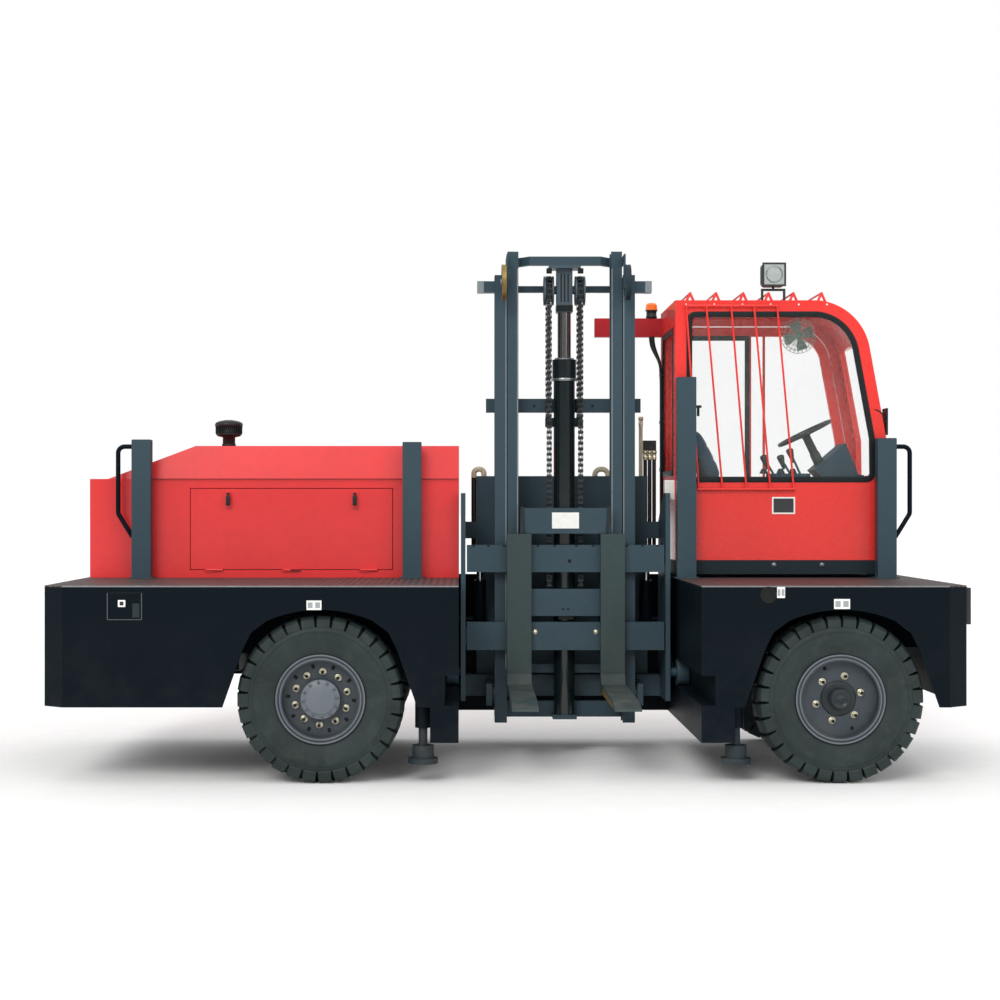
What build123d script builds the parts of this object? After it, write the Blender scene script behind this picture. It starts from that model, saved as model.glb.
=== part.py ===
"""Side loader forklift: a diesel side loader with a traversing mast between two load decks.

Frame: +X is the driving direction (cab end), -Y the load side, +Z up. The origin is on the
ground under the middle of the machine. All lengths are millimetres.
"""
from build123d import *
import os
from math import hypot

# Whole machine
half_length = 2883
half_width = 1180
deck_z = 1233
deck_t = 8
bed_margin = 25
skirt_t = 12
end_chamfer_x = 130
end_chamfer_y = 100
run_gap = 5
seat_gap = 0.3
overrun = 40

# Mast well between the two decks
rear_well_x = -294
front_well_x = 1212
well_wall_t = 20
leg_bottom_z = 260
rear_leg_w = 177
front_leg_w = 208
skirt_bottom_z = 480

# Wheels, 10.00-20 tyres
tyre_r = 525
tyre_w = 275
rim_r = 254
rim_flange_r = 280
rim_flange_t = 12
rim_wall = 14
rim_disc_t = 16
rim_half = 112
bead_top_r = 285
sidewall_r = 400
sidewall_in = 12
shoulder_r = 500
tread_edge_r = 520
tread_half = 100
tread_crown_share = 0.75
tyre_inset = 30
rear_axle_x = -1155
front_axle_x = 2085
wheel_y = half_width - tyre_inset - tyre_w / 2
wheel_z = tyre_r

# Wheel arch, one half, as shares of the tyre radius: (along X, above the axle)
arch_shares = [(1.15, -0.08), (0.98, 0.40), (0.91, 0.60), (0.81, 0.80), (0.62, 0.94)]
arch_crown_share = 1.067

# Frame rails, cross members and spine
rail_y = 400
rail_w = 110
rear_rail_z0 = 760
front_rail_z0 = 800
rail_h = 240
cross_w = 120
cross_h = 90
deck_member_xs = (-2300, -720, front_axle_x)
engine_member_y = 840
spine_y0 = 700
spine_y1 = 1100
spine_z0 = 260
spine_z1 = 900
tie_plate_t = 14

# Traverse rails, channels let into the well walls
channel_h = 226
channel_d = 106
channel_t = 20
channel_z0 = 471
channel_y1 = 690

# Jacks
jack_inset = 150
jack_y = half_width - jack_inset
jack_rear_x = -517
jack_front_x = 1446
jack_barrel_r = 50
jack_rod_r = 28
jack_foot_r = 68
jack_flange_r = 94
jack_foot_z0 = 116
jack_flange_t = 34
jack_foot_h = 80
jack_barrel_z0 = 340
jack_travel = 115
jack_bracket_h = 60

# Drive axle
axle_tube_r = 100
diff_r = 215
spindle_r = 55
hub_gap = 5
hub_in = 60
hub_r = 110
spindle_in = 20
axle_pad_l = 220

# Steering axle
king_inset = 162.5
king_y = wheel_y - king_inset
king_r = 32
knuckle_r = 58
knuckle_neck_r = 50
knuckle_h = 150
yoke_t = 34
beam_l = 170
front_spindle_r = 45
steer_arm_l = 200
steer_arm_w = 60
steer_arm_t = 30
steer_arm_in = 20
steer_rod_r = 22
steer_barrel_r = 48
steer_barrel_l = 460
eye_r = 24
eye_t = 28
saddle_l = 260
saddle_w = 420
beam_end_gap = 62
steer_z = wheel_z - knuckle_h / 2 + steer_arm_t + run_gap + eye_t / 2
steer_neck_share = 0.6

# Rims: where the disc stands out from the middle, the cap's radius and its outer face
rear_disc_w = 30
rear_cap_r = 125
rear_cap_w = 104
front_disc_w = 30
front_cap_r = 62
front_cap_w = 100

# Tanks under the rear deck
tank_x0 = -2750
tank_x1 = -1850
tank_z0 = 560
tank_z1 = 1060
tank_inset = 40
tank_corner = 60

# Load posts: (left edge, top height)
post_w = 130
post_d = 95
post_y0 = 85
posts = [(-2546, 2186), (-681, 2169), (front_well_x, 2617), (2591, 2196)]

# Hand rails
grab_r = 16
grab_out = 100
grab_top_z = 2141
grab_bend_z = 1678
grab_foot_z = 1516
grab_bend_r = 45

# Engine hood
hood_y0 = 220
hood_x0 = -2858
hood_x1 = -292
hood_z1 = 1919
hood_t = 24
cover_x0 = -2733
cover_slope_x = -2128
cover_z1 = 2150
cover_lean = 40
cover_t = 20
door_x0 = -2163
door_x1 = -751
door_z0 = 1286
door_z1 = 1856
door_t = 20
latch_w = 40
latch_h = 110
latch_t = 14
latch_z = 1773
latch_xs = (-1894, -1015)
hinge_pin_r = 8
hinge_y = hood_y0 - hinge_pin_r - seat_gap
hinge_knuckle_l = 60
hinge_shares = (0.12, 0.5, 0.88)
grille_slats = 9
grille_w = 620
grille_z0 = 1330
grille_z1 = 1850
grille_slat_share = 0.45

# Engine, one plain block on two cross members
engine_x0 = -1950
engine_x1 = -850
engine_w = 560
engine_z0 = 1090
engine_z1 = 1840

# Air pre-cleaner
cleaner_x = -1939
cleaner_y = 600
cleaner_r = 99
cleaner_z0 = 2232
cleaner_z1 = 2346
cleaner_neck_r = 45
cleaner_chamfer = 18

# Cab shell
cab_x0 = 1212
cab_x1 = 2690
cab_y0 = 220
cab_wall_inset = 30
cab_y1 = half_width - cab_wall_inset
cab_z0 = 1258
cab_z1 = 3162
cab_t = 40
cab_brow_x = 2678
cab_brow_z = 2211
cab_bend_x = 2564
cab_bend_z = 2837
cab_arc_x = 2448
cab_arc_z = 3052
cab_roof_x = 2205
cab_sill_z = 1901
cab_base_h = 97
window_inset = 84
glass_t = 6
floor_t = 40
mount_r = 45
screen_y_inset = 90
screen_z1 = 2960
rear_window_z0 = 1950
rear_window_z1 = 2980
cab_corner_r = 60

# Cab door on the far side
door_frame = 70
cab_door_inset = 95
cab_door_gap = 6
cab_door_t = 34
cab_hinge_r = 14
cab_hinge_h = 90
cab_hinge_zs = (1520, 2640)
cab_hinge_leaf = 60
cab_hinge_x = cab_x0 + cab_door_inset
cab_hinge_y = cab_y1 + cab_hinge_r + seat_gap
door_handle_l = 130
door_handle_z = 1800
slide_bar_xs = (1872, 1975)
slide_bar_w = 18
slide_bar_d = 12

# Guard bars on the cab: (top X, bottom X)
guard_r = 7
guard_y = 200
guard_top_z = 3121
guard_bottom_z = 1847
guard_bars = [(1286, 1372), (1425, 1538), (1598, 1704), (1757, 1870), (1917, 2033)]
roof_bar_xs = (1320, 1500, 1690, 1866, 2040, 2236)
roof_bar_rise = 54
roof_bar_foot = 30
roof_bar_in = 30
guard_rail_share = 1.3

# Work lamp, beacon and end lamps
lamp_x = 1906
lamp_y = 300
lamp_z = 3346
lamp_w = 166
lamp_d = 90
lamp_bracket_z = 3243
lamp_bracket_w = 170
lamp_bar = 16
lamp_corner_r = 30
beacon_base_share = 0.9
beam_x0 = 712
beam_z0 = 2981
beam_z1 = 3120
beam_inset = 110
beam_y0 = cab_y1 - beam_inset
beam_w = 60
beacon_x = 1134
beacon_r = 45
beacon_base_h = 56
beacon_h = 62
end_lamp_z0 = 985
end_lamp_h = 230
end_lamp_w = 110
end_lamp_d = 45
end_lamp_y = 960

# Driver's place
seat_x0 = 1330
seat_back_z = 2260
seat_cushion_z = 1980
seat_w = 480
seat_shift = 15
seat_y = (cab_y0 + cab_y1) / 2 + seat_shift
seat_cushion_l = 430
seat_cushion_t = 130
seat_back_t = 120
seat_plinth_w = 360
seat_plinth_in = 30
seat_lean = 120
console_x0 = 2330
console_x1 = 2560
console_pod_x0 = 2245
console_pod_x1 = 2466
console_sill_z = 1950
console_pod_z0 = 1990
console_z1 = 2180
console_share = 2 / 3
console_w = (cab_y1 - cab_y0) * console_share
console_pod_w = 300
wheel_x = 2200
wheel_zc = 2255
steer_wheel_r = 210
steer_wheel_tube = 14
steer_wheel_tilt = 26
column_r = 32
column_l = 260
spoke_r = 9
lever_knobs = [(1864, 2072), (1983, 2072), (2048, 2118)]
lever_r = 8
lever_knob_r = 18
lever_lean = 90
lever_y = 440
lever_box_x0 = 1890
lever_box_x1 = 2180
lever_box_w = 140
lever_box_z1 = 1960
fan_x = 2140
fan_z = 2950
fan_r = 125
fan_d = 70
fan_y = 620

# Mast
mast_x = 443
mast_y0 = 200
mast_d = 160
outer_half = 487
outer_w = 85
outer_web_t = 20
flange_t = 18
mast_side_gap = 4
inner_w = 76
inner_inset = 4
outer_z0 = 226
outer_z1 = 3335
inner_z0 = 550
inner_z1 = 3498
roller_gap = 2.5
roller_w = 50
inner_web_t = 18
roller_zs = (650, 900)
roller_pin_r = 22
tie_y0 = 392
tie_d = 30
mid_tie_z = 2438
mid_tie_h = 98
top_tie_z = 3258
top_tie_h = 46
foot_tie_z = 250
foot_tie_h = 110
stub_l = 120
stub_h = 78
mid_stub_l = 58
inner_tie_d = 20
inner_tie_y0 = tie_y0 - 2 * run_gap - inner_tie_d
inner_tie_z = 560
inner_tie_h = 60
crown_z0 = 3400
crown_h = 60
crown_y0 = 175
crown_d = 50
crown_crank = 75
crown_mid_share = 0.62
crown_bend_share = 0.78
pivot_y = 280
pivot_z = 420
pivot_r = 38
pivot_boss_r = 62
pivot_boss_t = 13

# Lift cylinder, crosshead, sheaves and chains
lift_y = 280
lift_barrel_r = 74
lift_gland_r = 83
lift_gland_h = 150
lift_barrel_z0 = 280
lift_barrel_z1 = 2751
lift_rod_r = 46
lift_rod_z1 = 3080
yoke_w = 110
yoke_d = 110
sheave_z = 3233
sheave_pitch_r = 90
sheave_rim_r = 102
sheave_w = 70
sheave_bore_r = 24
sheave_play = 2
yoke_cap_t = 20
chain_x = 109
chain_w = 40
chain_d = 30
chain_anchor_z = 1100
back_anchor_z = 2347
anchor_h = 60
clamp_h = 64

# Hose pulleys on the inner mast
pulley_r = 120
pulley_w = 34
pulley_z = 3268
pulley_y = mast_y0 - pulley_r - 2 * run_gap
pulley_plate_t = 10
pulley_plate_w = 80
pulley_groove = 12

# Fork carriage and forks
bar_half = 681
bar_y0 = 115
bar_d = 50
bar_rows = [(1275, 187), (737, 193)]
carriage_plate_z0 = 972
carriage_plate_h = 186
carriage_plate_d = 40
top_box_over = 48
top_box_z0 = 1541
top_box_h = 176
top_box_d = 58
upright_inset = 60
upright_w = 36
upright_z0 = 700
upright_drop = 20
cheek_y1 = 330
carriage_roller_zs = (760, 1330)
fork_x = 321
fork_w = 166
fork_shank_t = 65
fork_z1 = 1539
fork_z0 = 450
fork_heel_t = 62
fork_tip_t = 16
fork_length = 1200
fork_hook_h = 30
fork_heel_cut = 45
fork_taper_share = 0.78

# Traverse frame
side_half = 722
side_t = 32
side_y0 = 110
side_y1 = 600
side_z0 = 386
side_z1 = 1820
side_knee_z = 1620
side_top_y1 = 260
back_y0 = 560
back_t = 20
back_half = 610
back_z1 = 1945
sole_y0 = 470
sole_h = 150
track_roller_gap = 0.5
track_roller_ys = (170, 540)
track_roller_pin_r = 30
track_roller_top_gap = 5
pivot_arm_t = 40
pivot_arm_h = 150
# Cross ties of the traverse frame: (lower Z, height)
side_ties = [(740, 120), (1500, 120)]
side_tie_d = 40

# Tilt cylinders: base pin on the traverse frame, eye pin on the mast
tilt_base_y = 505
tilt_base_z = 800
tilt_eye_y = 400
tilt_eye_z = 1350
tilt_x = 588
tilt_barrel_r = 44
tilt_rod_r = 22
tilt_barrel_share = 0.74
tilt_pin_r = 20
tilt_eye_r = 40
tilt_eye_w = 50
tilt_eye_play = 6
tilt_lug_t = 22
tilt_lug_h = 80
tilt_neck_l = 80
tilt_bore_share = 0.54
tilt_rod_share = 0.62
tilt_arm_y0 = 300
tilt_arm_d = 45
tilt_arm_h = 120

# Mast pipes and hoses: loops as (left X, right X), hoses as (X, top Z)
pipe_r = 19
pipe_bend_share = 0.9
pipe_loops = [(-185, -113), (682, 775)]
pipe_top_z = 1995
pipe_z0 = 1300
hose_r = 14
hoses = [(1010, 2371), (1042, 2200), (1074, 2200), (1106, 2200)]
hose_bar_z = 2200
hose_bar_h = 70
hose_bar_x0 = 1000
hose_bar_x1 = 1120

# Helpers


def block(x0, x1, y0, y1, z0, z1):
    """A block between two opposite corners."""
    centre = Pos((x0 + x1) / 2, (y0 + y1) / 2, (z0 + z1) / 2)
    return centre * Box(x1 - x0, y1 - y0, z1 - z0)


def rod(axis, start, end, across, up, radius):
    """A round bar along X, Y or Z between two stations, at the two other coordinates."""
    bar = Cylinder(radius, end - start)
    middle = (start + end) / 2
    if axis == "X":
        return Pos(middle, across, up) * Rot(0, 90, 0) * bar
    if axis == "Y":
        return Pos(across, middle, up) * Rot(90, 0, 0) * bar
    return Pos(across, up, middle) * bar


def side_plate(points, y0, y1):
    """A plate whose outline is drawn in X and Z, between two values of Y."""
    outline = Polyline([(x, y0, z) for x, z in points], close=True)
    return extrude(make_face(outline), amount=y1 - y0, dir=(0, 1, 0))


def cross_plate(points, x0, x1):
    """A plate whose outline is drawn in Y and Z, between two values of X."""
    outline = Polyline([(x0, y, z) for y, z in points], close=True)
    return extrude(make_face(outline), amount=x1 - x0, dir=(1, 0, 0))


def tube_run(points, radii, radius):
    """A round bar that follows straight runs joined by arcs."""
    path = FilletPolyline(*points, radius=radii)
    section = Plane(origin=path @ 0, z_dir=path % 0) * Circle(radius)
    return sweep(section, path=path)


def joined(pieces):
    """One shape from a list of touching pieces."""
    result = pieces[0]
    for piece in pieces[1:]:
        result = result + piece
    return result


def cut(body, tools):
    """The body with every tool taken away."""
    for tool in tools:
        body = body - tool
    return body


def both_mast_sides(shape):
    """The shape and its mirror image across the middle of the mast."""
    return [shape, mirror(shape, about=Plane.YZ.offset(mast_x))]


parts = {}


def keep(name, pieces):
    """Note one node, made of one piece or of several that don't touch."""
    solids = []
    for piece in pieces if isinstance(pieces, list) else [pieces]:
        solids.extend(piece.solids())
    parts[name] = solids[0] if len(solids) == 1 else Compound(solids)


# Skirts, decks, frame


def arch_points(axle_x, side):
    """Half of a wheel arch's outline, from its foot up; side is -1 or 1 along X."""
    return [(axle_x + side * x * tyre_r, wheel_z + z * tyre_r) for x, z in arch_shares]


def arch_cutter(axle_x, y0, y1):
    """The wheel arch as a solid to cut with, open at the bottom."""
    left = arch_points(axle_x, -1)
    right = arch_points(axle_x, 1)
    crown = (axle_x, wheel_z + arch_crown_share * tyre_r)
    low = leg_bottom_z - overrun
    foot = arch_shares[0][0] * tyre_r
    lines = Polyline(
        [(x, y0, z) for x, z in right[::-1]]
        + [(axle_x + foot, y0, low), (axle_x - foot, y0, low)]
        + [(x, y0, z) for x, z in left]
    )
    top = ThreePointArc((left[-1][0], y0, left[-1][1]), (crown[0], y0, crown[1]),
                        (right[-1][0], y0, right[-1][1]))
    return extrude(make_face([lines, top]), amount=y1 - y0, dir=(0, 1, 0))


def end_plan(well_x, sign, inset, z0, z1):
    """One end of the machine in plan with its chamfered corners; sign is the end along X."""
    far = half_length - inset
    side = half_width - inset
    corner_x = half_length - end_chamfer_x
    corner_y = half_width - end_chamfer_y
    points = [
        (well_x, -side), (sign * corner_x, -side), (sign * far, -corner_y),
        (sign * far, corner_y), (sign * corner_x, side), (well_x, side),
    ]
    outline = Polyline([(x, y, z0) for x, y in points], close=True)
    return extrude(make_face(outline), amount=z1 - z0, dir=(0, 0, 1))


def skirts(well_x, sign, axle_x, leg_w):
    """Side and end plates of one end: a shell open at the well, with the arches cut out."""
    top = deck_z - deck_t
    outer = end_plan(well_x, sign, 0, leg_bottom_z, top)
    inner = end_plan(well_x - sign * overrun, sign, skirt_t, leg_bottom_z - overrun, top + overrun)
    shell = outer - inner
    reach = half_width + overrun
    low = leg_bottom_z - overrun
    leg_edge = well_x + sign * leg_w
    outside = sign * (half_length + overrun)
    x0, x1 = sorted((leg_edge, outside))
    shell = shell - block(x0, x1, -reach, reach, low, skirt_bottom_z)
    notch_x = well_x + sign * channel_d
    x0, x1 = sorted((well_x - sign * overrun, notch_x))
    notch = block(x0, x1, -reach, 0, channel_z0, channel_z0 + channel_h)
    return cut(shell, [arch_cutter(axle_x, -reach, reach), notch])


def deck(well_x, sign):
    """One deck plate with its chamfered corners."""
    return end_plan(well_x, sign, 0, deck_z - deck_t, deck_z)


def deck_halves():
    """Load beds along the near side, and the plates behind them under the hood and the cab."""
    margin = 3 * hood_t
    opening = block(hood_x0 + margin, hood_x1 - margin, hood_y0 + margin, half_width - margin,
                    deck_z - deck_t - overrun, deck_z + overrun)
    split_y = post_y0 - bed_margin
    reach_x = half_length + overrun
    reach_y = half_width + overrun
    low = deck_z - deck_t - overrun
    high = deck_z + overrun
    near = block(-reach_x, reach_x, -reach_y, split_y, low, high)
    far = block(-reach_x, reach_x, split_y + seat_gap, reach_y, low, high)
    rear = deck(rear_well_x, -1)
    front = deck(front_well_x, 1)
    return [rear & near, (rear & far) - opening, front & near, front & far]


def well_wall(x0, sign):
    """One wall of the well with its slot for the traverse rail; sign points away from the well."""
    far = x0 + sign * well_wall_t
    a, b = sorted((x0, far))
    side = half_width - skirt_t
    wall = block(a, b, -side, side, leg_bottom_z, deck_z - deck_t)
    slot = block(a - overrun, b + overrun, -half_width, channel_y1,
                 channel_z0, channel_z0 + channel_h)
    return wall - slot


def main_frame():
    """The well's walls and the spine that joins both ends of the machine behind the mast."""
    pieces = [well_wall(rear_well_x, -1), well_wall(front_well_x, 1)]
    pieces.append(block(rear_well_x, front_well_x, spine_y0, spine_y1, spine_z0, spine_z1))
    plate_y = half_width - 2 * skirt_t
    pieces.append(block(rear_well_x, front_well_x, plate_y, half_width, skirt_bottom_z,
                        deck_z - deck_t))
    pieces.append(block(rear_well_x, front_well_x, spine_y0, half_width - skirt_t,
                        spine_z1, spine_z1 + tie_plate_t))
    return joined(pieces)


def frame_rails():
    """Long rails of both ends and the members across them, each a bar of its own."""
    end_x = half_length - skirt_t
    spans = [(-end_x, rear_well_x - well_wall_t, rear_rail_z0),
             (front_well_x + well_wall_t, end_x, front_rail_z0)]
    rails = []
    room = []
    play = seat_gap
    for x0, x1, z0 in spans:
        for s in (-1, 1):
            y0 = s * rail_y - rail_w / 2
            y1 = s * rail_y + rail_w / 2
            rails.append(block(x0, x1, y0, y1, z0, z0 + rail_h))
            room.append(block(x0 - play, x1 + play, y0 - play, y1 + play, z0 - play,
                              z0 + rail_h))
    side = half_width - skirt_t
    corner = half_width - end_chamfer_y
    bars = []
    # Cross members: (lower X, lower Z, upper Z, half length)
    members = [
        (tank_x0 - cross_w, rear_rail_z0 + rail_h - cross_h, rear_rail_z0 + rail_h, corner),
        (engine_x0 + cross_w, engine_z0 - cross_h + play, engine_z0, engine_member_y),
        (engine_x1 - cross_w, engine_z0 - cross_h + play, engine_z0, engine_member_y),
        (front_axle_x - cross_w / 2, front_rail_z0, front_rail_z0 + cross_h, rail_y),
        (end_x - cross_w, front_rail_z0 + rail_h - cross_h, front_rail_z0 + rail_h, corner),
    ]
    for x, z0, z1, reach in members:
        bars.append(block(x, x + cross_w, -reach, reach, z0, z1))
    top = deck_z - deck_t
    for x in deck_member_xs:
        rail_top = (rear_rail_z0 if x < 0 else front_rail_z0) + rail_h
        bar = block(x - cross_w / 2, x + cross_w / 2, -side, side, top - cross_h, top)
        for s in (-1, 1):
            y = s * rail_y
            bar = bar + block(x - cross_w / 2, x + cross_w / 2, y - rail_w / 2, y + rail_w / 2,
                              rail_top + play, top)
        bars.append(bar)
    return rails + [cut(bar, room) for bar in bars]


def traverse_rail(x0, sign):
    """One channel of the traverse, open towards the well."""
    a, b = sorted((x0, x0 + sign * channel_d))
    web_a, web_b = sorted((x0 - sign * overrun, x0 + sign * (channel_d - channel_t)))
    z1 = channel_z0 + channel_h
    outer = block(a, b, -half_width, channel_y1, channel_z0, z1)
    hollow = block(web_a, web_b, -half_width - overrun, channel_y1 + overrun,
                   channel_z0 + channel_t, z1 - channel_t)
    return outer - hollow


def load_posts():
    """Four square posts that hold the load off the hood and the cab."""
    return [block(x, x + post_w, post_y0, post_y0 + post_d, deck_z, top) for x, top in posts]


def hand_rail(edge_x, sign):
    """A bent grab rail on the outer face of an end post."""
    y = post_y0 + post_d / 2
    out = edge_x + sign * grab_out
    points = [(edge_x, y, grab_top_z), (out, y, grab_top_z), (out, y, grab_bend_z),
              (edge_x, y, grab_foot_z)]
    bar = tube_run(points, [grab_bend_r, grab_bend_r], grab_r)
    a, b = sorted((edge_x, edge_x - sign * post_w))
    return bar - block(a, b, post_y0, post_y0 + post_d, deck_z, grab_top_z)


def jack_barrel(x):
    """A jack's fixed barrel with the bracket that carries it on the skirt."""
    top = deck_z - deck_t
    barrel = rod("Z", jack_barrel_z0, top, x, -jack_y, jack_barrel_r)
    bore = rod("Z", jack_barrel_z0 - overrun, top - jack_bracket_h, x, -jack_y,
               jack_rod_r + seat_gap)
    bracket = block(x - jack_barrel_r, x + jack_barrel_r, -half_width + skirt_t, -jack_y,
                    top - 2 * jack_bracket_h, top - jack_bracket_h)
    return barrel + bracket - bore


def jack(x):
    """A jack's rod with its foot and round pad."""
    flange = rod("Z", jack_foot_z0, jack_foot_z0 + jack_flange_t, x, -jack_y, jack_flange_r)
    foot_top = jack_foot_z0 + jack_flange_t + jack_foot_h
    foot = rod("Z", jack_foot_z0, foot_top, x, -jack_y, jack_foot_r)
    leg = rod("Z", jack_foot_z0, deck_z - deck_t - 2 * jack_bracket_h - jack_travel, x, -jack_y,
              jack_rod_r)
    return joined([flange, foot, leg])


keep("main_frame", main_frame())
keep("frame_rails", frame_rails())
keep("rear_skirts", skirts(rear_well_x, -1, rear_axle_x, rear_leg_w))
keep("front_skirts", skirts(front_well_x, 1, front_axle_x, front_leg_w))
keep("deck_plates", deck_halves())
keep("traverse_rails", [traverse_rail(rear_well_x, -1), traverse_rail(front_well_x, 1)])
keep("load_posts", load_posts())
keep("hand_rails", [hand_rail(posts[0][0], -1), hand_rail(posts[3][0] + post_w, 1)])
keep("jack_barrels", [jack_barrel(jack_rear_x), jack_barrel(jack_front_x)])
keep("jack_rear", jack(jack_rear_x))
keep("jack_front", jack(jack_front_x))


# Axles, knuckles, wheels


def ring(axle_x, r_in, r_out, w0, w1):
    """A ring or disc about a near wheel's axis, between two stations out from its middle."""
    body = rod("Y", -(wheel_y + w1), -(wheel_y + w0), axle_x, wheel_z, r_out)
    if r_in:
        bore = rod("Y", -(wheel_y + w1 + overrun), -(wheel_y + w0 - overrun), axle_x, wheel_z,
                   r_in)
        body = body - bore
    return body


def rear_axle():
    """The drive axle: tubes, differential, spindles and the pads under the rails."""
    end = wheel_y - hub_in - hub_gap
    tube = rod("Y", -end, end, rear_axle_x, wheel_z, axle_tube_r)
    spindle = rod("Y", -wheel_y - spindle_in, wheel_y + spindle_in, rear_axle_x, wheel_z,
                  spindle_r)
    ball = Pos(rear_axle_x, 0, wheel_z) * Sphere(diff_r)
    pads = [
        block(rear_axle_x - axle_pad_l / 2, rear_axle_x + axle_pad_l / 2,
              s * rail_y - rail_w / 2, s * rail_y + rail_w / 2, wheel_z, rear_rail_z0)
        for s in (-1, 1)
    ]
    return joined([tube, spindle, ball] + pads)


def front_axle():
    """The steering axle: beam, yokes, king pins and the steering cylinder's barrel."""
    half_h = knuckle_h / 2 + run_gap + yoke_t
    beam_end = king_y - knuckle_r - beam_end_gap
    x0 = front_axle_x - beam_l / 2
    x1 = front_axle_x + beam_l / 2
    beam = block(x0, x1, -beam_end, beam_end, wheel_z - half_h, wheel_z + half_h)
    pieces = [beam]
    for s in (-1, 1):
        y0, y1 = sorted((s * beam_end, s * king_y))
        for z in (wheel_z - half_h, wheel_z + half_h - yoke_t):
            pieces.append(block(x0, x1, y0, y1, z, z + yoke_t))
            pieces.append(rod("Z", z, z + yoke_t, front_axle_x, s * king_y, beam_l / 2))
        pieces.append(rod("Z", wheel_z - half_h, wheel_z + half_h, front_axle_x, s * king_y,
                          king_r))
    cradle = block(front_axle_x - saddle_l / 2, front_axle_x + saddle_l / 2, -saddle_w / 2,
                   saddle_w / 2, wheel_z + half_h, front_rail_z0)
    barrel_x = front_axle_x - steer_arm_l
    half = steer_barrel_l / 2
    barrel = rod("Y", -half, half, barrel_x, steer_z, steer_barrel_r)
    foot = block(barrel_x, x0, -half / 2, half / 2, steer_z - steer_rod_r, steer_z + steer_rod_r)
    bore = rod("Y", -half - overrun, half + overrun, barrel_x, steer_z, steer_rod_r + seat_gap)
    return joined(pieces + [cradle, barrel, foot]) - bore


def knuckle():
    """The near steering knuckle with its spindle and steering arm."""
    z0 = wheel_z - knuckle_h / 2
    boss = rod("Z", z0, z0 + knuckle_h, front_axle_x, -king_y, knuckle_r)
    end = wheel_y - hub_in - hub_gap
    neck = rod("Y", -end, -king_y, front_axle_x, wheel_z, knuckle_neck_r)
    spindle = rod("Y", -wheel_y - spindle_in, -king_y, front_axle_x, wheel_z, front_spindle_r)
    x = front_axle_x - steer_arm_l
    y = -king_y + steer_arm_in
    half = steer_arm_w / 2
    outline = Polyline([(front_axle_x, -king_y - half, z0), (front_axle_x, -king_y + half, z0),
                        (x, y + half, z0), (x, y - half, z0)], close=True)
    arm = extrude(make_face(outline), amount=steer_arm_t, dir=(0, 0, 1))
    tip = rod("Z", z0, z0 + steer_arm_t, x, y, half)
    pin_hole = rod("Z", z0 - overrun, z0 + knuckle_h + overrun, front_axle_x, -king_y,
                   king_r + seat_gap)
    return joined([boss, neck, spindle, arm, tip]) - pin_hole


def steering_rod():
    """The steering cylinder's through rod with an eye over each steering arm."""
    x = front_axle_x - steer_arm_l
    y = king_y - steer_arm_in
    bar = rod("Y", -y, y, x, steer_z, steer_rod_r * steer_neck_share)
    thick = rod("Y", -y + 2 * eye_r, y - 2 * eye_r, x, steer_z, steer_rod_r)
    eyes = [rod("Z", steer_z - eye_t / 2, steer_z + eye_t / 2, x, s * y, eye_r) for s in (-1, 1)]
    return joined([bar, thick] + eyes)


def tyre(axle_x):
    """A near tyre out to its lugs' tips, turned about the axle."""
    half = tyre_w / 2

    def at(radius, out):
        return (axle_x, -(wheel_y + out), wheel_z + radius)

    lines = [
        Polyline([at(shoulder_r, sidewall_in - half), at(tread_edge_r, -tread_half),
                  at(tyre_r, -tread_half * tread_crown_share),
                  at(tyre_r, tread_half * tread_crown_share), at(tread_edge_r, tread_half),
                  at(shoulder_r, half - sidewall_in)]),
        ThreePointArc(at(shoulder_r, half - sidewall_in), at(sidewall_r, half),
                      at(bead_top_r, rim_half)),
        Polyline([at(bead_top_r, rim_half), at(rim_r, rim_half), at(rim_r, -rim_half),
                  at(bead_top_r, -rim_half)]),
        ThreePointArc(at(bead_top_r, -rim_half), at(sidewall_r, -half),
                      at(shoulder_r, sidewall_in - half)),
    ]
    axis = Axis((axle_x, 0, wheel_z), (0, 1, 0))
    return revolve(make_face(lines), axis=axis)


def rim(axle_x, bore_r, disc_w, cap_r, cap_w):
    """A near rim with its disc, hub and cap."""
    inner = rim_r - rim_wall
    edge = rim_half + rim_flange_t
    pieces = [
        ring(axle_x, inner, rim_r, -edge, edge),
        ring(axle_x, inner, rim_flange_r, -edge, -rim_half),
        ring(axle_x, inner, rim_flange_r, rim_half, edge),
        ring(axle_x, bore_r, inner, disc_w, disc_w + rim_disc_t),
        ring(axle_x, bore_r, hub_r, -hub_in, disc_w + rim_disc_t),
        ring(axle_x, 0, cap_r, spindle_in + hub_gap, cap_w),
    ]
    return joined(pieces)


keep("rear_axle", rear_axle())
keep("front_axle", front_axle())
near_knuckle = knuckle()
keep("knuckle_near", near_knuckle)
keep("knuckle_far", mirror(near_knuckle, about=Plane.XZ))
keep("steering_rod", steering_rod())
rims = {
    "rear": rim(rear_axle_x, spindle_r + seat_gap, rear_disc_w, rear_cap_r, rear_cap_w),
    "front": rim(front_axle_x, front_spindle_r + seat_gap, front_disc_w, front_cap_r,
                 front_cap_w),
}
for end, axle_x in (("rear", rear_axle_x), ("front", front_axle_x)):
    near_tyre = tyre(axle_x)
    keep(f"tyre_{end}_near", near_tyre)
    keep(f"tyre_{end}_far", mirror(near_tyre, about=Plane.XZ))
    keep(f"rim_{end}_near", rims[end])
    keep(f"rim_{end}_far", mirror(rims[end], about=Plane.XZ))


# Tanks, hood, engine


def tank(side):
    """One tank, hung on the outer face of a frame rail."""
    y0, y1 = sorted((side * (rail_y + rail_w / 2), side * (half_width - skirt_t - tank_inset)))
    body = block(tank_x0, tank_x1, y0, y1, tank_z0, tank_z1)
    return fillet(body.edges().filter_by(Axis.X), tank_corner)


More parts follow.
